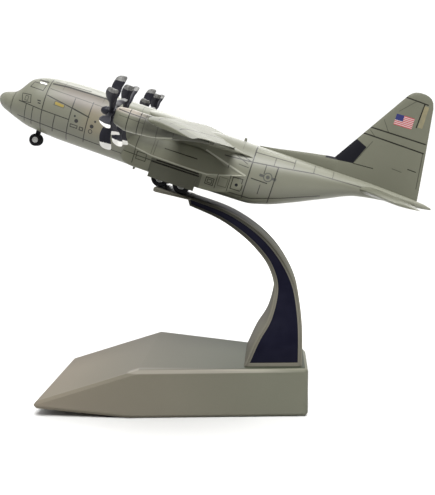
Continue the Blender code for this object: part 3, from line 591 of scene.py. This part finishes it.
def makeFin():
    # The foil between the straight leading and trailing edges
    h = np.concatenate([np.linspace(12.0, 47.6, 26), np.linspace(48.4, 51.9, 12)])[:, None]
    lead, trail, half = straight(fin["sections"], h)
    aft, up = foil(64)
    skin("fin", toPart(lead + (trail - lead) * aft, 2 * half * up, h), finPaint, instead="fin")
    # The fillet's ridge: a rounded section on the fuselage's back, swelling towards its foot
    s = np.linspace(101.5, 141.0, 60)[:, None]
    top, half = flow(fin["fillet"], s)
    a = ringAngles(40)
    base = fin["filletBase"]
    h = base + (top - base) * (0.5 + 0.5 * signedPower(np.cos(a), 0.7))
    y = half * signedPower(np.sin(a), 0.8) * (1.0 + 0.2 * (1.0 - (h - base) / (top - base)))
    skin("dorsalFillet", toPart(s, y, h), finPaint, instead="dorsal_fillet")


tailplane = {
    # y, leading edge s, chord, thickness
    "sections": ((0.0, 138.0, 27.5, 3.6), (4.0, 140.8, 24.2, 3.4), (8.0, 144.4, 20.1, 3.0),
                 (37.5, 150.0, 11.6, 1.7), (39.0, 150.6, 10.4, 1.4), (39.7, 151.3, 9.0, 1.0),
                 (40.0, 152.2, 7.2, 0.4)),
    "height": 10.5,
    "lines": ((0.15, 0.8, 159.6, 4.0, 157.0, 38.0), (0.12, 0.5, 150.0, 12.0, 163.0, 12.0),
              (0.12, 0.5, 150.0, 22.0, 163.0, 22.0), (0.12, 0.5, 151.0, 32.0, 161.0, 32.0),
              (0.12, 0.6, 148.4, 4.0, 153.0, 38.0)),
}


def drawTailplane(finish, colour, s, y, h):
    return colour, seams(finish, s, y.size(), tailplane["lines"])


tailplanePaint = paint("tailplanePaint", drawTailplane, 0.5)


def makeTailplane():
    # Each outline is the foil times chord and thickness
    y = np.concatenate([np.linspace(0.0, 8.0, 9), np.linspace(10.0, 37.5, 12), np.linspace(38.2, 40.0, 8)])
    y = y[:, None]
    lead, chord, thick = straight(tailplane["sections"], y)
    aft, up = foil(56)
    for side, word in sides:
        skin(f"tailplane_{word}", toPart(lead + chord * aft, side * y, tailplane["height"] + thick * up),
             tailplanePaint, instead=f"stabiliser_{word}")


makeFin()
makeTailplane()
print("wing and tail ready")

engines = {
    # number, y, thrust line h, turn of the propeller in degrees
    "places": (("1", -50.4, 10.3, 8.0), ("2", -24.6, 9.8, 30.0), ("3", 24.6, 9.8, 8.0), ("4", 50.4, 10.3, 30.0)),
    # s, half width, then top and bottom from the thrust line
    "nacelle": ((53.3, 1.8, 1.6, -2.7), (53.6, 2.3, 2.1, -3.3), (55.0, 2.9, 2.6, -3.9), (58.0, 3.3, 2.9, -4.7),
                (66.0, 3.2, 2.8, -4.1), (72.0, 3.0, 2.6, -3.0), (78.0, 2.6, 2.1, -1.5),
                (84.5, 1.5, 1.15, -0.35), (86.0, 1.1, 0.8, -0.1)),
    "lines": ((0.13, 0.8, 58.2, -5.0, 58.2, 20.0), (0.13, 0.8, 61.9, -5.0, 61.9, 20.0),
              (0.1, 0.5, 63.8, -5.0, 63.8, 20.0), (0.12, 0.5, 68.5, -5.0, 68.5, 11.0),
              (0.12, 0.4, 74.0, -5.0, 74.0, 12.0), (0.1, 0.4, 55.0, 10.2, 63.8, 9.9),
              (0.16, 0.7, 54.4, 12.0, 57.9, 11.8, 63.4, 11.7)),
    # A painted highlight along the nacelle's lower edge
    "edge": (0.2, 0.7, 56.0, 5.5, 61.1, 5.8, 66.9, 6.3, 73.9, 8.2),
    # Painted shade under the wing and painted light on top in front of it
    "shading": ((0.87, (0.035, 0.035, 0.026), ("s", 58.0, 65.0), ("h", 6.4, 8.4)),
                (0.6, (0.34, 0.29, 0.25), ("s", 65.0, 60.0), ("h", 11.0, 11.8))),
    "discS": 51.8,
    "tilt": math.radians(5.0),
    "radius": 12.5,
    "hubRadius": 1.5,
    "hubLength": 2.6,
    "spinner": 2.3,
    # radius share, chord, thickness, pitch in degrees, sweep along the chord
    "blade": ((0.08, 1.5, 1.0, 84.0, 0.0), (0.38, 1.7, 0.9, 82.0, 0.0), (0.43, 2.5, 0.85, 81.4, -0.12),
              (0.50, 3.2, 0.77, 80.6, -0.25), (0.66, 3.7, 0.6, 79.0, -0.3), (0.82, 3.95, 0.52, 77.4, 0.2),
              (0.92, 3.8, 0.47, 76.3, 0.65), (0.965, 3.3, 0.44, 75.6, 0.95), (0.99, 2.5, 0.36, 75.1, 1.2),
              (1.0, 1.5, 0.22, 75.0, 1.3)),
    "silverFrom": 0.845,
    "blades": 6,
}


def drawNacelle(finish, colour, s, y, h):
    # Painted shade and light from the table, then a painted highlight along the lower edge
    colour = finish.shaded(colour, {"s": s, "h": h}, engines["shading"])
    colour = finish.blend(seams(finish, s, h, [engines["edge"]]) * 0.6, colour, paintLook["wearAndHighlight"])
    return colour, seams(finish, s, h, engines["lines"])


def blackPlastic(name, tips=None):
    # Satin black moulding. On a blade the outer share is brushed with rough silver
    finish = Finish(name, {"Specular IOR Level": 0.22})
    fleck = finish.noise(900.0, 4.0, 0.7)
    colour = finish.blend(fleck, (0.006, 0.006, 0.010), (0.020, 0.020, 0.028))
    rough = 0.36 + fleck * 0.2
    if tips:
        span, tone = (finish.add("ShaderNodeAttribute", {"attribute_name": key}, output=2)
                      for key in ("span", "tone"))
        silver = (span + (fleck - 0.5) * 0.05) > tips
        wearAndHighlight = finish.blend((fleck - 0.35) * 2.2, (0.02, 0.02, 0.022), (0.30, 0.30, 0.29))
        # tone blends the dull silver towards bright silver: a painted reflection on the blades that point down
        colour = finish.blend(silver, colour, finish.blend(tone, wearAndHighlight, (0.74, 0.73, 0.70)))
        finish.drive("Metallic", silver * 0.25)
        rough = rough + silver * 0.12
    finish.drive("Base Color", colour)
    finish.drive("Roughness", rough)
    finish.bumpFrom(fleck, 0.4, 0.0001)
    return finish.owner


nacellePaint = paint("nacellePaint", drawNacelle)
bladeBlack = blackPlastic("bladeBlackSilverTip", engines["silverFrom"])
hubBlack = blackPlastic("hubBlack")


def propPlace(x, across, up, y, thrust):
    # About a propeller's centre, x along its axis aft, turned by the disc's tilt and carried to its engine
    cosT, sinT = math.cos(engines["tilt"]), math.sin(engines["tilt"])
    return toPart(engines["discS"] + x * cosT - up * sinT, y + across, thrust + x * sinT + up * cosT)


def makeNacelle(number, y, thrust):
    # An oval at each station, about the thrust line
    s = np.concatenate([np.linspace(53.3, 56.0, 14), np.linspace(57.0, 86.0, 50)])[:, None]
    across, h = oval(*flow(engines["nacelle"], s), ringAngles(72), 0.87)
    skin(f"nacelle_{number}_cowl", toPart(s, y + across, thrust + h), nacellePaint, instead=f"nacelle_{number}")


def bladeGrid(turn):
    # Flattened ovals along the radius: chord times cos, thickness times sin, turned by the pitch at each share
    share = np.concatenate([np.linspace(0.08, 0.9, 28), np.linspace(0.915, 1.0, 14)])[:, None]
    chord, thick, lean, sweep = flow(engines["blade"], share)
    lean = np.radians(lean)
    a = ringAngles(28)
    along = chord / 2 * np.cos(a) + sweep
    through = thick / 2 * signedPower(np.sin(a), 0.9) + 0.06 * chord * np.cos(2 * a)
    across = -along * np.cos(lean) + through * np.sin(lean)
    radius = engines["radius"] * share
    grid = (along * np.sin(lean) + through * np.cos(lean),
            radius * math.sin(turn) + across * math.cos(turn), radius * math.cos(turn) - across * math.sin(turn))
    return grid, np.broadcast_to(share, across.shape)


def joined(name, parts, body, instead):
    # One object from several closed shells
    bpy.context.view_layer.update()
    with bpy.context.temp_override(active_object=parts[0], selected_editable_objects=parts,
                                   selected_objects=parts):
        bpy.ops.object.join()
    parts[0].name = name
    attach(parts[0], body)
    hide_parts(instead)


def makePropeller(number, y, thrust, phase):
    body = f"propeller_{number}_body"
    half, hubRadius = engines["hubLength"] / 2, engines["hubRadius"]
    a = ringAngles(48)
    # Spinner: a cosine dome ahead of the hub with a rounded tip
    t = np.linspace(0.0, 1.0, 26)[:, None]
    radius = hubRadius * np.cos(t * math.pi / 2) ** 0.85 + 0.02
    x = -half - 0.05 - engines["spinner"] * np.sin(t * math.pi / 2)
    dome = propPlace(x, radius * np.cos(a), radius * np.sin(a), y, thrust)
    skin(f"spinnerDome_{number}", dome, hubBlack, body, f"spinner_{number}")
    # Hub: a short barrel with chamfered rims
    x, radius = np.array([(-half, hubRadius - 0.15), (-half + 0.1, hubRadius), (half - 0.1, hubRadius),
                          (half, hubRadius - 0.15)]).T[:, :, None]
    plain = np.zeros((4, 48))
    barrel = propPlace(x, radius * np.cos(a), radius * np.sin(a), y, thrust)
    parts = [skin(f"hubBarrel_{number}", barrel, bladeBlack, body,
                  measure={"span": plain, "tone": plain})]
    for k in range(engines["blades"]):
        turn = math.radians(phase) + k * 2 * math.pi / engines["blades"]
        grid, span = bladeGrid(turn)
        # The silver on the blades that point down is painted bright, a painted reflection; on the others it stays
        # dull and mottled
        tone = np.full_like(span, 1.0 if math.cos(turn) < 0.2 else 0.12)
        parts.append(skin(f"blade_{number}_{k}", propPlace(*grid, y, thrust), bladeBlack, body,
                          measure={"span": span, "tone": tone}))
    joined(f"propellerBlades_{number}", parts, body, f"propeller_{number}")


for engineNumber, engineY, thrustH, propPhase in engines["places"]:
    makeNacelle(engineNumber, engineY, thrustH)
    makePropeller(engineNumber, engineY, thrustH, propPhase)
print("engines ready")

# Main-gear fairing
sponson = {
    # s, outer y, chine, top, bottom
    "sections": (
        (52.3, 10.4, 0.1, 0.9, -5.6), (52.7, 11.2, 0.05, 2.1, -6.5), (54.0, 12.4, -0.1, 3.6, -7.4),
        (58.0, 13.4, -0.7, 5.0, -8.0), (64.0, 13.8, -1.6, 5.8, -8.0), (80.0, 13.8, -1.9, 6.6, -8.0),
        (86.0, 13.4, -1.8, 5.9, -7.9), (92.0, 12.5, -0.3, 4.4, -7.2), (100.3, 10.7, 1.9, 2.1, -4.0),
    ),
    # Outline: inset from the outer y, share up from the chine to the top, or down if negative
    "outline": ((8.0, 0.8), (6.0, 0.98), (4.2, 1.0), (2.9, 0.94), (1.9, 0.76), (1.1, 0.52), (0.55, 0.30),
                (0.2, 0.12), (0.0, 0.0), (0.45, -0.07), (0.72, -0.16), (0.82, -0.45), (0.95, -0.78),
                (1.5, -0.95), (2.6, -1.0), (8.0, -1.0)),
    "inner": 5.0,
    "lines": ((0.15, 0.8, 68.3, 2.4, 80.9, 2.4), (0.13, 0.6, 57.6, -6.5, 57.6, 4.5),
              (0.1, 0.4, 63.8, -1.0, 63.8, 4.5), (0.1, 0.4, 64.8, -1.0, 64.8, 4.5),
              (0.26, 1.0, 66.7, -2.6, 83.0, -2.7), (0.2, 1.0, 65.0, -3.6, 83.4, -3.6),
              (0.12, 0.6, 90.2, -6.0, 90.2, -0.6), (0.12, 0.6, 94.9, -5.6, 94.9, 0.4),
              (0.12, 0.6, 53.0, -3.2, 64.6, -3.4)),
    "panels": ((0.12, 0.8, 86.3, -5.3, 89.3, -2.8), (0.12, 0.6, 58.6, -4.6, 62.4, -1.8),
               (0.12, 0.7, 87.0, -4.7, 88.7, -3.4), (0.12, 0.4, 91.0, -4.6, 94.3, -1.2),
               (0.13, 0.9, 95.9, -4.3, 100.0, 0.2)),
    # Painted shade below the chine around the wheels, and painted shade on the top under the nacelle and the wing
    "shadeAroundWheels": (0.030, 0.030, 0.024),
    "shading": ((0.6, (0.018, 0.018, 0.013), ("s", 53.0, 58.0), ("s", 76.0, 66.0), ("h", -0.6, 2.4)),),
    "dot": (97.8, -2.4, 0.6),
}


def drawSponson(finish, colour, s, y, h):
    # Painted shade below the chine around the wheels and on the top under the nacelle
    under = (h < -2.3) * (s < 84.5) * (s > 64.5)
    colour = finish.blend(under * 0.55, colour, sponson["shadeAroundWheels"])
    colour = finish.shaded(colour, {"s": s, "h": h}, sponson["shading"])
    colour = finish.blend(spot(s, h, *sponson["dot"]), colour, paintLook["black"])
    # A painted highlight along the chine
    chine = np.array(sponson["sections"])[:, [0, 2]].ravel().tolist()
    colour = finish.blend(seams(finish, s, h, [(0.2, 0.7, *chine)]) * 0.7, colour, paintLook["wearAndHighlight"])
    return colour, seams(finish, s, h, sponson["lines"], sponson["panels"])


sponsonPaint = paint("sponsonPaint", drawSponson, 0.1)


def makeSponson(side, word):
    # The outline is scaled between the chine and the top or bottom of each station
    s = np.concatenate([np.linspace(52.3, 56.5, 18), np.linspace(57.5, 100.3, 50)])[:, None]
    outer, chine, top, bottom = flow(sponson["sections"], s)
    outline = sponson["outline"]
    numbered = np.column_stack([np.arange(len(outline)), outline])
    inset, share = flow(numbered, np.linspace(0, len(outline) - 1, 76))
    # Below the chine the front grows gradually out of the fuselage's side
    hollow = 1.5 * np.clip((66.0 - s) / 13.0, 0.0, 1.0) * np.clip(-share * 3.0, 0.0, 1.0)
    y = side * np.maximum(outer - inset - hollow, sponson["inner"])
    h = chine + share * np.where(share > 0, top - chine, chine - bottom)
    skin(f"gearFairing_{word}", toPart(s, y, h), sponsonPaint, instead=f"sponson_{word}", sharp=50.0)


for sideSign, sideWord in sides:
    makeSponson(sideSign, sideWord)
print("gear fairings ready")

wheels = {
    "main": {"radius": 3.4, "width": 2.6, "y": 11.0, "h": -8.8},
    "mainPlaces": (("front", 69.6), ("rear", 78.1)),
    "nose": {"radius": 2.4, "width": 1.5, "y": 1.5, "h": -10.7},
    "noseS": 17.6,
    "rim": 0.48,
    # Hub's face, in shares of the rim's radius and of the half width
    "face": ((0.02, 0.80), (0.16, 0.80), (0.22, 0.72), (0.24, 0.45), (0.50, 0.30), (0.78, 0.38), (0.84, 0.66),
             (0.90, 0.78), (0.985, 0.76), (0.985, -0.76), (0.86, -0.76), (0.80, -0.5), (0.02, -0.5)),
}
tyreRubber = gloss("tyreRubber", (0.004, 0.004, 0.005), (0.014, 0.014, 0.015), 0.5, 0.3, 0.03, 500.0,
                   (0.3, 0.0001), 4.0)
hubGrey = castMetal("wheelHubGrey", (0.34, 0.34, 0.33), (0.55, 0.55, 0.53), 0.3, 0.42)


def aboutAxle(profile, s, y, h):
    # A profile of radius and width turned about the axle
    radius, across = profile.T[:, :, None]
    a = ringAngles(72)
    return toPart(s + radius * np.cos(a), y + across, h + radius * np.sin(a))


def makeWheel(name, kind, s, side, body):
    # Tyre: a rounded tread profile carried round the axle. Hub: a dished profile turned about it
    radius, half = kind["radius"], kind["width"] / 2
    rim = radius * wheels["rim"]
    place = s, side * kind["y"], kind["h"]
    t = np.linspace(0.0, math.pi, 15)
    shoulder = min(half, radius - rim) * 0.8
    tread = np.stack([radius - shoulder + shoulder * np.sin(t), -half * signedPower(np.cos(t), 0.75)], -1)
    profile = np.vstack([[rim + 0.02, -half * 0.82], [rim + 0.25, -half * 0.95], tread,
                         [rim + 0.25, half * 0.95], [rim + 0.02, half * 0.82]])
    skin(f"{name}_tyreTread", aboutAxle(profile, *place), tyreRubber, body,
         f"{name}_tyre", loop=True)
    face = np.array(wheels["face"]) * (rim, half * side)
    skin(f"{name}_hubDish", aboutAxle(face, *place), hubGrey, body, f"{name}_hub")


for sideSign, sideWord in sides:
    for end, atS in wheels["mainPlaces"]:
        wheelName = f"main_wheel_{sideWord}_{end}"
        makeWheel(wheelName, wheels["main"], atS, sideSign, wheelName)
    makeWheel(f"nose_wheel_{sideWord}", wheels["nose"], wheels["noseS"], sideSign, "nose_wheels")
print("wheels ready")

champagne = (0.105, 0.100, 0.080), (0.150, 0.142, 0.114)

arm = {
    # outer x, outer z, inner x, inner z, port y outer, port y inner, starboard y outer, starboard y inner
    "stations": (
        (49.4, 18.6, 27.6, 18.6, -18.4, -19.6, 7.6, 18.0), (49.5, 28.5, 31.8, 27.9, -17.0, -18.2, 8.8, 16.6),
        (49.1, 37.3, 36.4, 35.8, -14.5, -15.6, 9.6, 15.2), (47.4, 47.6, 38.8, 46.5, -12.0, -12.4, 10.0, 12.6),
        (43.5, 56.4, 36.9, 54.8, -11.0, -11.2, 10.4, 11.4), (37.8, 64.4, 32.3, 61.6, -11.0, -11.0, 10.6, 11.0),
        (30.4, 71.0, 25.8, 67.9, -11.0, -11.0, 10.8, 11.0), (20.4, 76.9, 17.6, 73.6, -11.0, -11.0, 11.0, 11.0),
        (5.9, 82.1, 6.8, 78.55, -11.0, -11.0, 11.0, 11.0),
    ),
    "steps": 121,
    "rim": 1.6,
    "rimShare": 0.25,
    "groove": (0.42, 0.46, 0.70, 0.74),  # shares of the rim
    "grooveDepth": 0.4,
    "pocketDepth": 0.45,
    "round": 0.35,
    "inlay": {"gap": 0.06, "soft": 0.12, "inward": (0.44, 0.2, 0.1, 0.1, 0.2, 0.44)},
    # Darker towards the top, where the outer face has a black strip
    "shading": ((0.8, (0.036, 0.036, 0.030), ("z", 45.0, 72.0)),),
    "strip": (0.006, 0.006, 0.007),
    "drawnGroove": (0.020, 0.019, 0.017),
}


def armTone(finish, colour):
    x, y, z = finish.partAxes()
    across = y.size()
    colour = finish.shaded(colour, {"z": z}, arm["shading"])
    strip = finish.fade(z, 69.0, 77.0) * (across < 8.6) * (x > 7.5)
    colour = finish.blend(strip * 0.93, colour, arm["strip"])
    # A drawn groove on each side of the strip, on the outer face alone
    outerFace = finish.split(finish.add("ShaderNodeTexCoord", output=1))[2] > 0.1
    groove = across.near(8.3, 0.8) * finish.fade(z, 52.0, 66.0) * outerFace
    return finish.blend(groove * 0.8, colour, arm["drawnGroove"])


armMetal = castMetal("armChampagne", *champagne, 0.03, 0.62, armTone, 0.02)
inlayBlack = gloss("inlayBlack", (0.003, 0.003, 0.008), (0.007, 0.007, 0.015), 0.3)


def armRows(steps):
    # Catmull-Rom through the stations
    table = np.array(arm["stations"])
    padded = np.vstack([2 * table[0] - table[1], table, 2 * table[-1] - table[-2]])
    t = np.linspace(0, len(table) - 1, steps)
    i = np.minimum(t.astype(int), len(table) - 2)
    u = (t - i)[:, None]
    p0, p1, p2, p3 = (padded[i + k] for k in range(4))
    return 0.5 * (2 * p1 + (p2 - p0) * u + (2 * p0 - 5 * p1 + 4 * p2 - p3) * u**2
                  + (3 * p1 - p0 - 3 * p2 + p3) * u**3)


def armPoint(rows, share, side, inward):
    # A share of the way from the outer to the inner edge of one side, sunk inward from its face
    outer, inner = rows[:, None, 0:2], rows[:, None, 2:4]
    yOuter, yInner = (rows[:, None, k] for k in ((6, 7) if side > 0 else (4, 5)))
    x, z = np.moveaxis(outer + (inner - outer) * share[..., None], -1, 0)
    return np.stack([x, yOuter + (yInner - yOuter) * share - side * inward, z], -1) * mm


def makeArm():
    # Each row is a ring over both sides: rounded edge, grooved rim and sunk pocket, and back. The rows at the
    # pocket's two ends are doubled, so that it drops straight
    rows = armRows(arm["steps"])
    slab = rows[2:-1]
    doubled = np.vstack([rows[:2], slab[0], slab, slab[-1], rows[-1:]])
    width = np.hypot(doubled[:, 0] - doubled[:, 2], doubled[:, 1] - doubled[:, 3])[:, None]
    rim = np.minimum(arm["rim"], arm["rimShare"] * width) / width
    edge = np.minimum(arm["round"] / width, 0.2)
    zero = np.zeros_like(rim)
    depth = zero.copy()
    depth[3:-2] = arm["pocketDepth"]
    groove = rim * np.array([arm["groove"]])
    dip = zero + np.array([[0.0, arm["grooveDepth"], arm["grooveDepth"], 0.0]])
    shares = np.hstack([zero, edge * 0.3, edge, groove, rim, rim])
    shares = np.hstack([shares, 1 - shares[:, ::-1]])
    inward = np.hstack([zero + arm["round"], zero + 0.3 * arm["round"], zero, dip, zero, depth])
    inward = np.hstack([inward, inward[:, ::-1]])
    ring = [armPoint(doubled, shares, -1, inward), armPoint(doubled, shares, 1, inward)[:, ::-1]]
    skin("standArm", np.concatenate(ring, 1), armMetal, "root", "stand_arm", sharp=32.0)
    # The inlay fills the pocket, a little short of its edges
    inlay = arm["inlay"]
    slab = np.vstack([slab[:1] * 0.8 + slab[1:2] * 0.2, slab[1:-1], slab[-1:] * 0.8 + slab[-2:-1] * 0.2])
    width = np.hypot(slab[:, 0] - slab[:, 2], slab[:, 1] - slab[:, 3])[:, None]
    rim = (np.minimum(arm["rim"], arm["rimShare"] * width) + inlay["gap"]) / width
    shares = np.hstack([rim, rim, rim + inlay["soft"] / width])
    shares = np.hstack([shares, 1 - shares[:, ::-1]])
    for side, word in sides:
        grid = armPoint(slab, shares, side, np.array([inlay["inward"]]))
        skin(f"armInlay_{word}", grid, inlayBlack, "root", f"arm_inlay_{word}")


plinth = {
    # x, port y, starboard y, then the lower edge's x and the heights of the side's lower and upper edge
    "rings": ((-51.6, -26.9, 42.0, -51.6, 3.3, 5.6), (-11.2, -26.9, 42.0, -15.1, 0.0, 18.5),
              (51.6, -21.4, 11.0, 51.6, 0.0, 18.5)),
    "bevels": (("chamfer", 1.5, 1, 30.0), ("soften", 0.22, 2, 20.0)),  # name, width, segments, angle
    # In turn: warm towards the front, painted highlight on the port edge's chamfer, darker starboard wall,
    # painted shade on the slope
    "shading": (
        (1.0, (0.154, 0.127, 0.099), ("x", -58.0, 42.0, 0.75, 0.0)),
        (0.6, (0.30, 0.28, 0.24), ("y", -29.5, -28.0), ("y", -21.5, -23.0), ("z", 16.9, 17.3), ("z", 18.7, 18.3)),
    ),
    "wall": (0.060, 0.064, 0.046),
    "slope": (0.030, 0.031, 0.024),
    # Colour of the painted shadow on the plateau
    "top": (0.040, 0.045, 0.031),
}


def plinthTone(finish, colour):
    x, y, z = finish.partAxes()
    colour = finish.shaded(colour, {"x": x, "y": y, "z": z}, plinth["shading"])
    colour = finish.blend(finish.fade(x, 0.0, 40.0) * (z < 17.8) * 0.35, colour, plinth["wall"])
    slope = finish.fade(x, -40.0, -12.0) * (x < -11.5) * (y > -24.5)
    colour = finish.blend(slope * 0.16, colour, plinth["slope"])
    # The plateau is darkened, more towards +X: a painted shadow of the aircraft and the arm above it
    return finish.blend(z.near(18.5, 0.1) * (0.41 + x * 0.0155), colour, plinth["top"])


plinthMetal = castMetal("plinthChampagne", (0.120, 0.120, 0.092), (0.165, 0.163, 0.128), 0.04, 0.5,
                        plinthTone, 0.04)


def makePlinth():
    # A low block of eight faces and a bend, its edges chamfered and then softened by a second, fine bevel
    rings = [[(lowX, port, low), (x, port, high), (x, starboard, high), (lowX, starboard, low)]
             for x, port, starboard, lowX, low, high in plinth["rings"]]
    block = skin("plinthBlock", np.array(rings) * mm, plinthMetal, "root", "plinth", sharp=30.0)
    for label, width, segments, angle in plinth["bevels"]:
        modifier = block.modifiers.new(label, "BEVEL")
        modifier.width = width * mm
        modifier.segments = segments
        modifier.limit_method = "ANGLE"
        modifier.angle_limit = math.radians(angle)
        modifier.harden_normals = False


# Tray under the main wheels: s at its ends, half width, top and bottom h
tray = {"front": 68.6, "rear": 83.2, "half": 13.2, "top": -12.3, "bottom": -14.4, "rearBottom": -13.15,
        "round": 0.63, "around": 64, "across": 33, "pad": (0.008, 0.008, 0.009), "padHalf": 12.4,
        "padFrom": 70.0}


def trayTone(finish, colour):
    # A black pad on the tray's top, a little short of its edges
    s, y, h = finish.aircraftAxes()
    pad = (y.size() < tray["padHalf"]) * (s > tray["padFrom"])
    pad = pad * finish.fade(h, tray["top"] - 0.31, tray["top"] - 0.11)
    return finish.blend(pad, colour, tray["pad"])


cradleMetal = castMetal("cradleChampagne", *champagne, 0.2, 0.46, trayTone, 0.08)


def makeTray():
    # A rounded bar in the side view, thinner to the rear, its outline drawn in by a quarter circle at both ends
    a = ringAngles(tray["around"])
    inset, length = tray["round"], tray["rear"] - tray["front"]
    y = tray["half"] * np.sin(np.linspace(-1.0, 1.0, tray["across"])[:, None] * math.pi / 2)
    beyond = np.clip((np.abs(y) - tray["half"] + inset) / inset, 0.0, 1.0)
    shrink = inset * (1.0 - np.sqrt(1.0 - beyond**2))
    s = (tray["front"] + tray["rear"]) / 2 + (length / 2 - shrink) * signedPower(np.cos(a), 0.16)
    bottom = tray["bottom"] + (tray["rearBottom"] - tray["bottom"]) * (s - tray["front"]) / length
    h = (tray["top"] + bottom) / 2 + ((tray["top"] - bottom) / 2 - shrink) * signedPower(np.sin(a), 0.62)
    skin("cradleTray", toPart(s, y, h), cradleMetal, "root", "cradle")


makeArm()
makePlinth()
makeTray()
print("stand ready")

plainPaint = paint("plainPaint")
carriedOver = {
    "main_gear_leg_port": hubBlack,
    "main_gear_leg_starboard": hubBlack,
    "nose_gear_leg": hubBlack,
    "nose_wheel_axle": hubBlack,
    "main_gear_door_port": sponsonPaint,
    "main_gear_door_starboard": sponsonPaint,
    "aerial_spine": plainPaint,
    "aerial_belly_front": plainPaint,
}
for node, finish in carriedOver.items():
    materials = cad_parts[node].data.materials
    materials.clear()
    materials.append(finish)
print("carried-over pieces finished")

room = {"floor": (0.58, 0.58, 0.575), "floorLight": (0.62, 0.62, 0.615), "floorFront": (0.38, 0.38, 0.38),
        "reach": 3.0}


def makeRoom():
    finish = Finish("studioFloor", {"Roughness": 0.6, "Specular IOR Level": 0.2})
    pale = finish.blend(finish.noise(3.0), room["floor"], room["floorLight"])
    _, y, _ = finish.partAxes()
    finish.drive("Base Color", finish.blend(finish.fade(y, -120.0, -400.0), pale, room["floorFront"]))
    reach = room["reach"]
    mesh = bpy.data.meshes.new("studioFloor")
    mesh.from_pydata([(-reach, -reach, 0.0), (reach, -reach, 0.0), (reach, reach, 0.0), (-reach, reach, 0.0)], [],
                     [(0, 1, 2, 3)])
    mesh.materials.append(finish.owner)
    floor = bpy.data.objects.new("studioFloor", mesh)
    bpy.context.scene.collection.objects.link(floor)


lights = {
    # name: kind, place, aim, size in metres or spread in degrees, watts or strength
    "skylight": ("SUN", (0.12, -0.60, 1.0), (0.0, 0.0, 0.0), 34.0, 5.5),
    "softbox": ("AREA", (0.05, 0.55, 0.45), (0.0, 0.0, 0.10), 0.60, 3.8),
}
# The sky behind the model is white up to the top of the picture, darker above and behind the camera
sky = {"white": (1.1, 1.1, 1.1), "above": (0.8, 0.79, 0.77), "front": (0.18, 0.179, 0.175),
       "fade": (0.22, 0.38), "turn": (-0.30, 0.20)}


def makeLights():
    for name, (kind, place, aim, size, power) in lights.items():
        lamp = bpy.data.lights.new(name, kind)
        lamp.energy = power
        if kind == "SUN":
            lamp.angle = math.radians(size)
        else:
            lamp.size = size
        made = bpy.data.objects.new(name, lamp)
        made.location = place
        made.rotation_euler = (Vector(aim) - Vector(place)).to_track_quat("-Z", "Y").to_euler()
        bpy.context.scene.collection.objects.link(made)
    world = bpy.data.worlds.new("studioSky")
    finish = Finish("studioSky", {}, world)
    bpy.context.scene.world = world
    _, y, z = finish.split(finish.add("ShaderNodeTexCoord"))
    colour = finish.blend(finish.fade(z, *sky["fade"]), sky["white"], sky["above"])
    finish.drive("Color", finish.blend(finish.fade(y, *sky["turn"]), sky["front"], colour))


# The photograph's camera: focal length, size, vanishing point of +Y in pixels, roll in degrees, and its place
lens = {"focal": 900.0, "width": 435.0, "height": 495.0, "vanish": (274.0, 137.0), "roll": 0.3,
        "eye": (38.67, -350.0, 104.2)}


def makeCamera():
    # In camera axes (right, down, ahead), +Y looks to the vanishing point and +X lies along the rolled horizontal
    offX, offY = lens["vanish"][0] - lens["width"] / 2, lens["vanish"][1] - lens["height"] / 2
    depth = np.array([offX, offY, lens["focal"]])
    depth /= np.linalg.norm(depth)
    roll = math.radians(lens["roll"])
    level = np.array([math.cos(roll), -math.sin(roll), 0.0])
    right = level - level @ depth * depth
    right /= np.linalg.norm(right)
    up = np.cross(right, depth)
    cameraRight, cameraDown, cameraAhead = (Vector((right[k], depth[k], up[k])) for k in range(3))
    turn = Matrix((cameraRight, -cameraDown, -cameraAhead)).transposed().to_4x4()
    data = bpy.data.cameras.new("photoCamera")
    data.sensor_fit = "VERTICAL"
    data.sensor_height = 36.0
    data.lens = lens["focal"] / lens["height"] * data.sensor_height
    data.clip_start = 0.01
    camera = bpy.data.objects.new("photoCamera", data)
    camera.matrix_world = Matrix.Translation(Vector(lens["eye"]) * mm) @ turn
    bpy.context.scene.collection.objects.link(camera)
    bpy.context.scene.camera = camera


makeRoom()
makeLights()
makeCamera()
bpy.context.scene.view_settings.view_transform = "Standard"
print("studio ready")
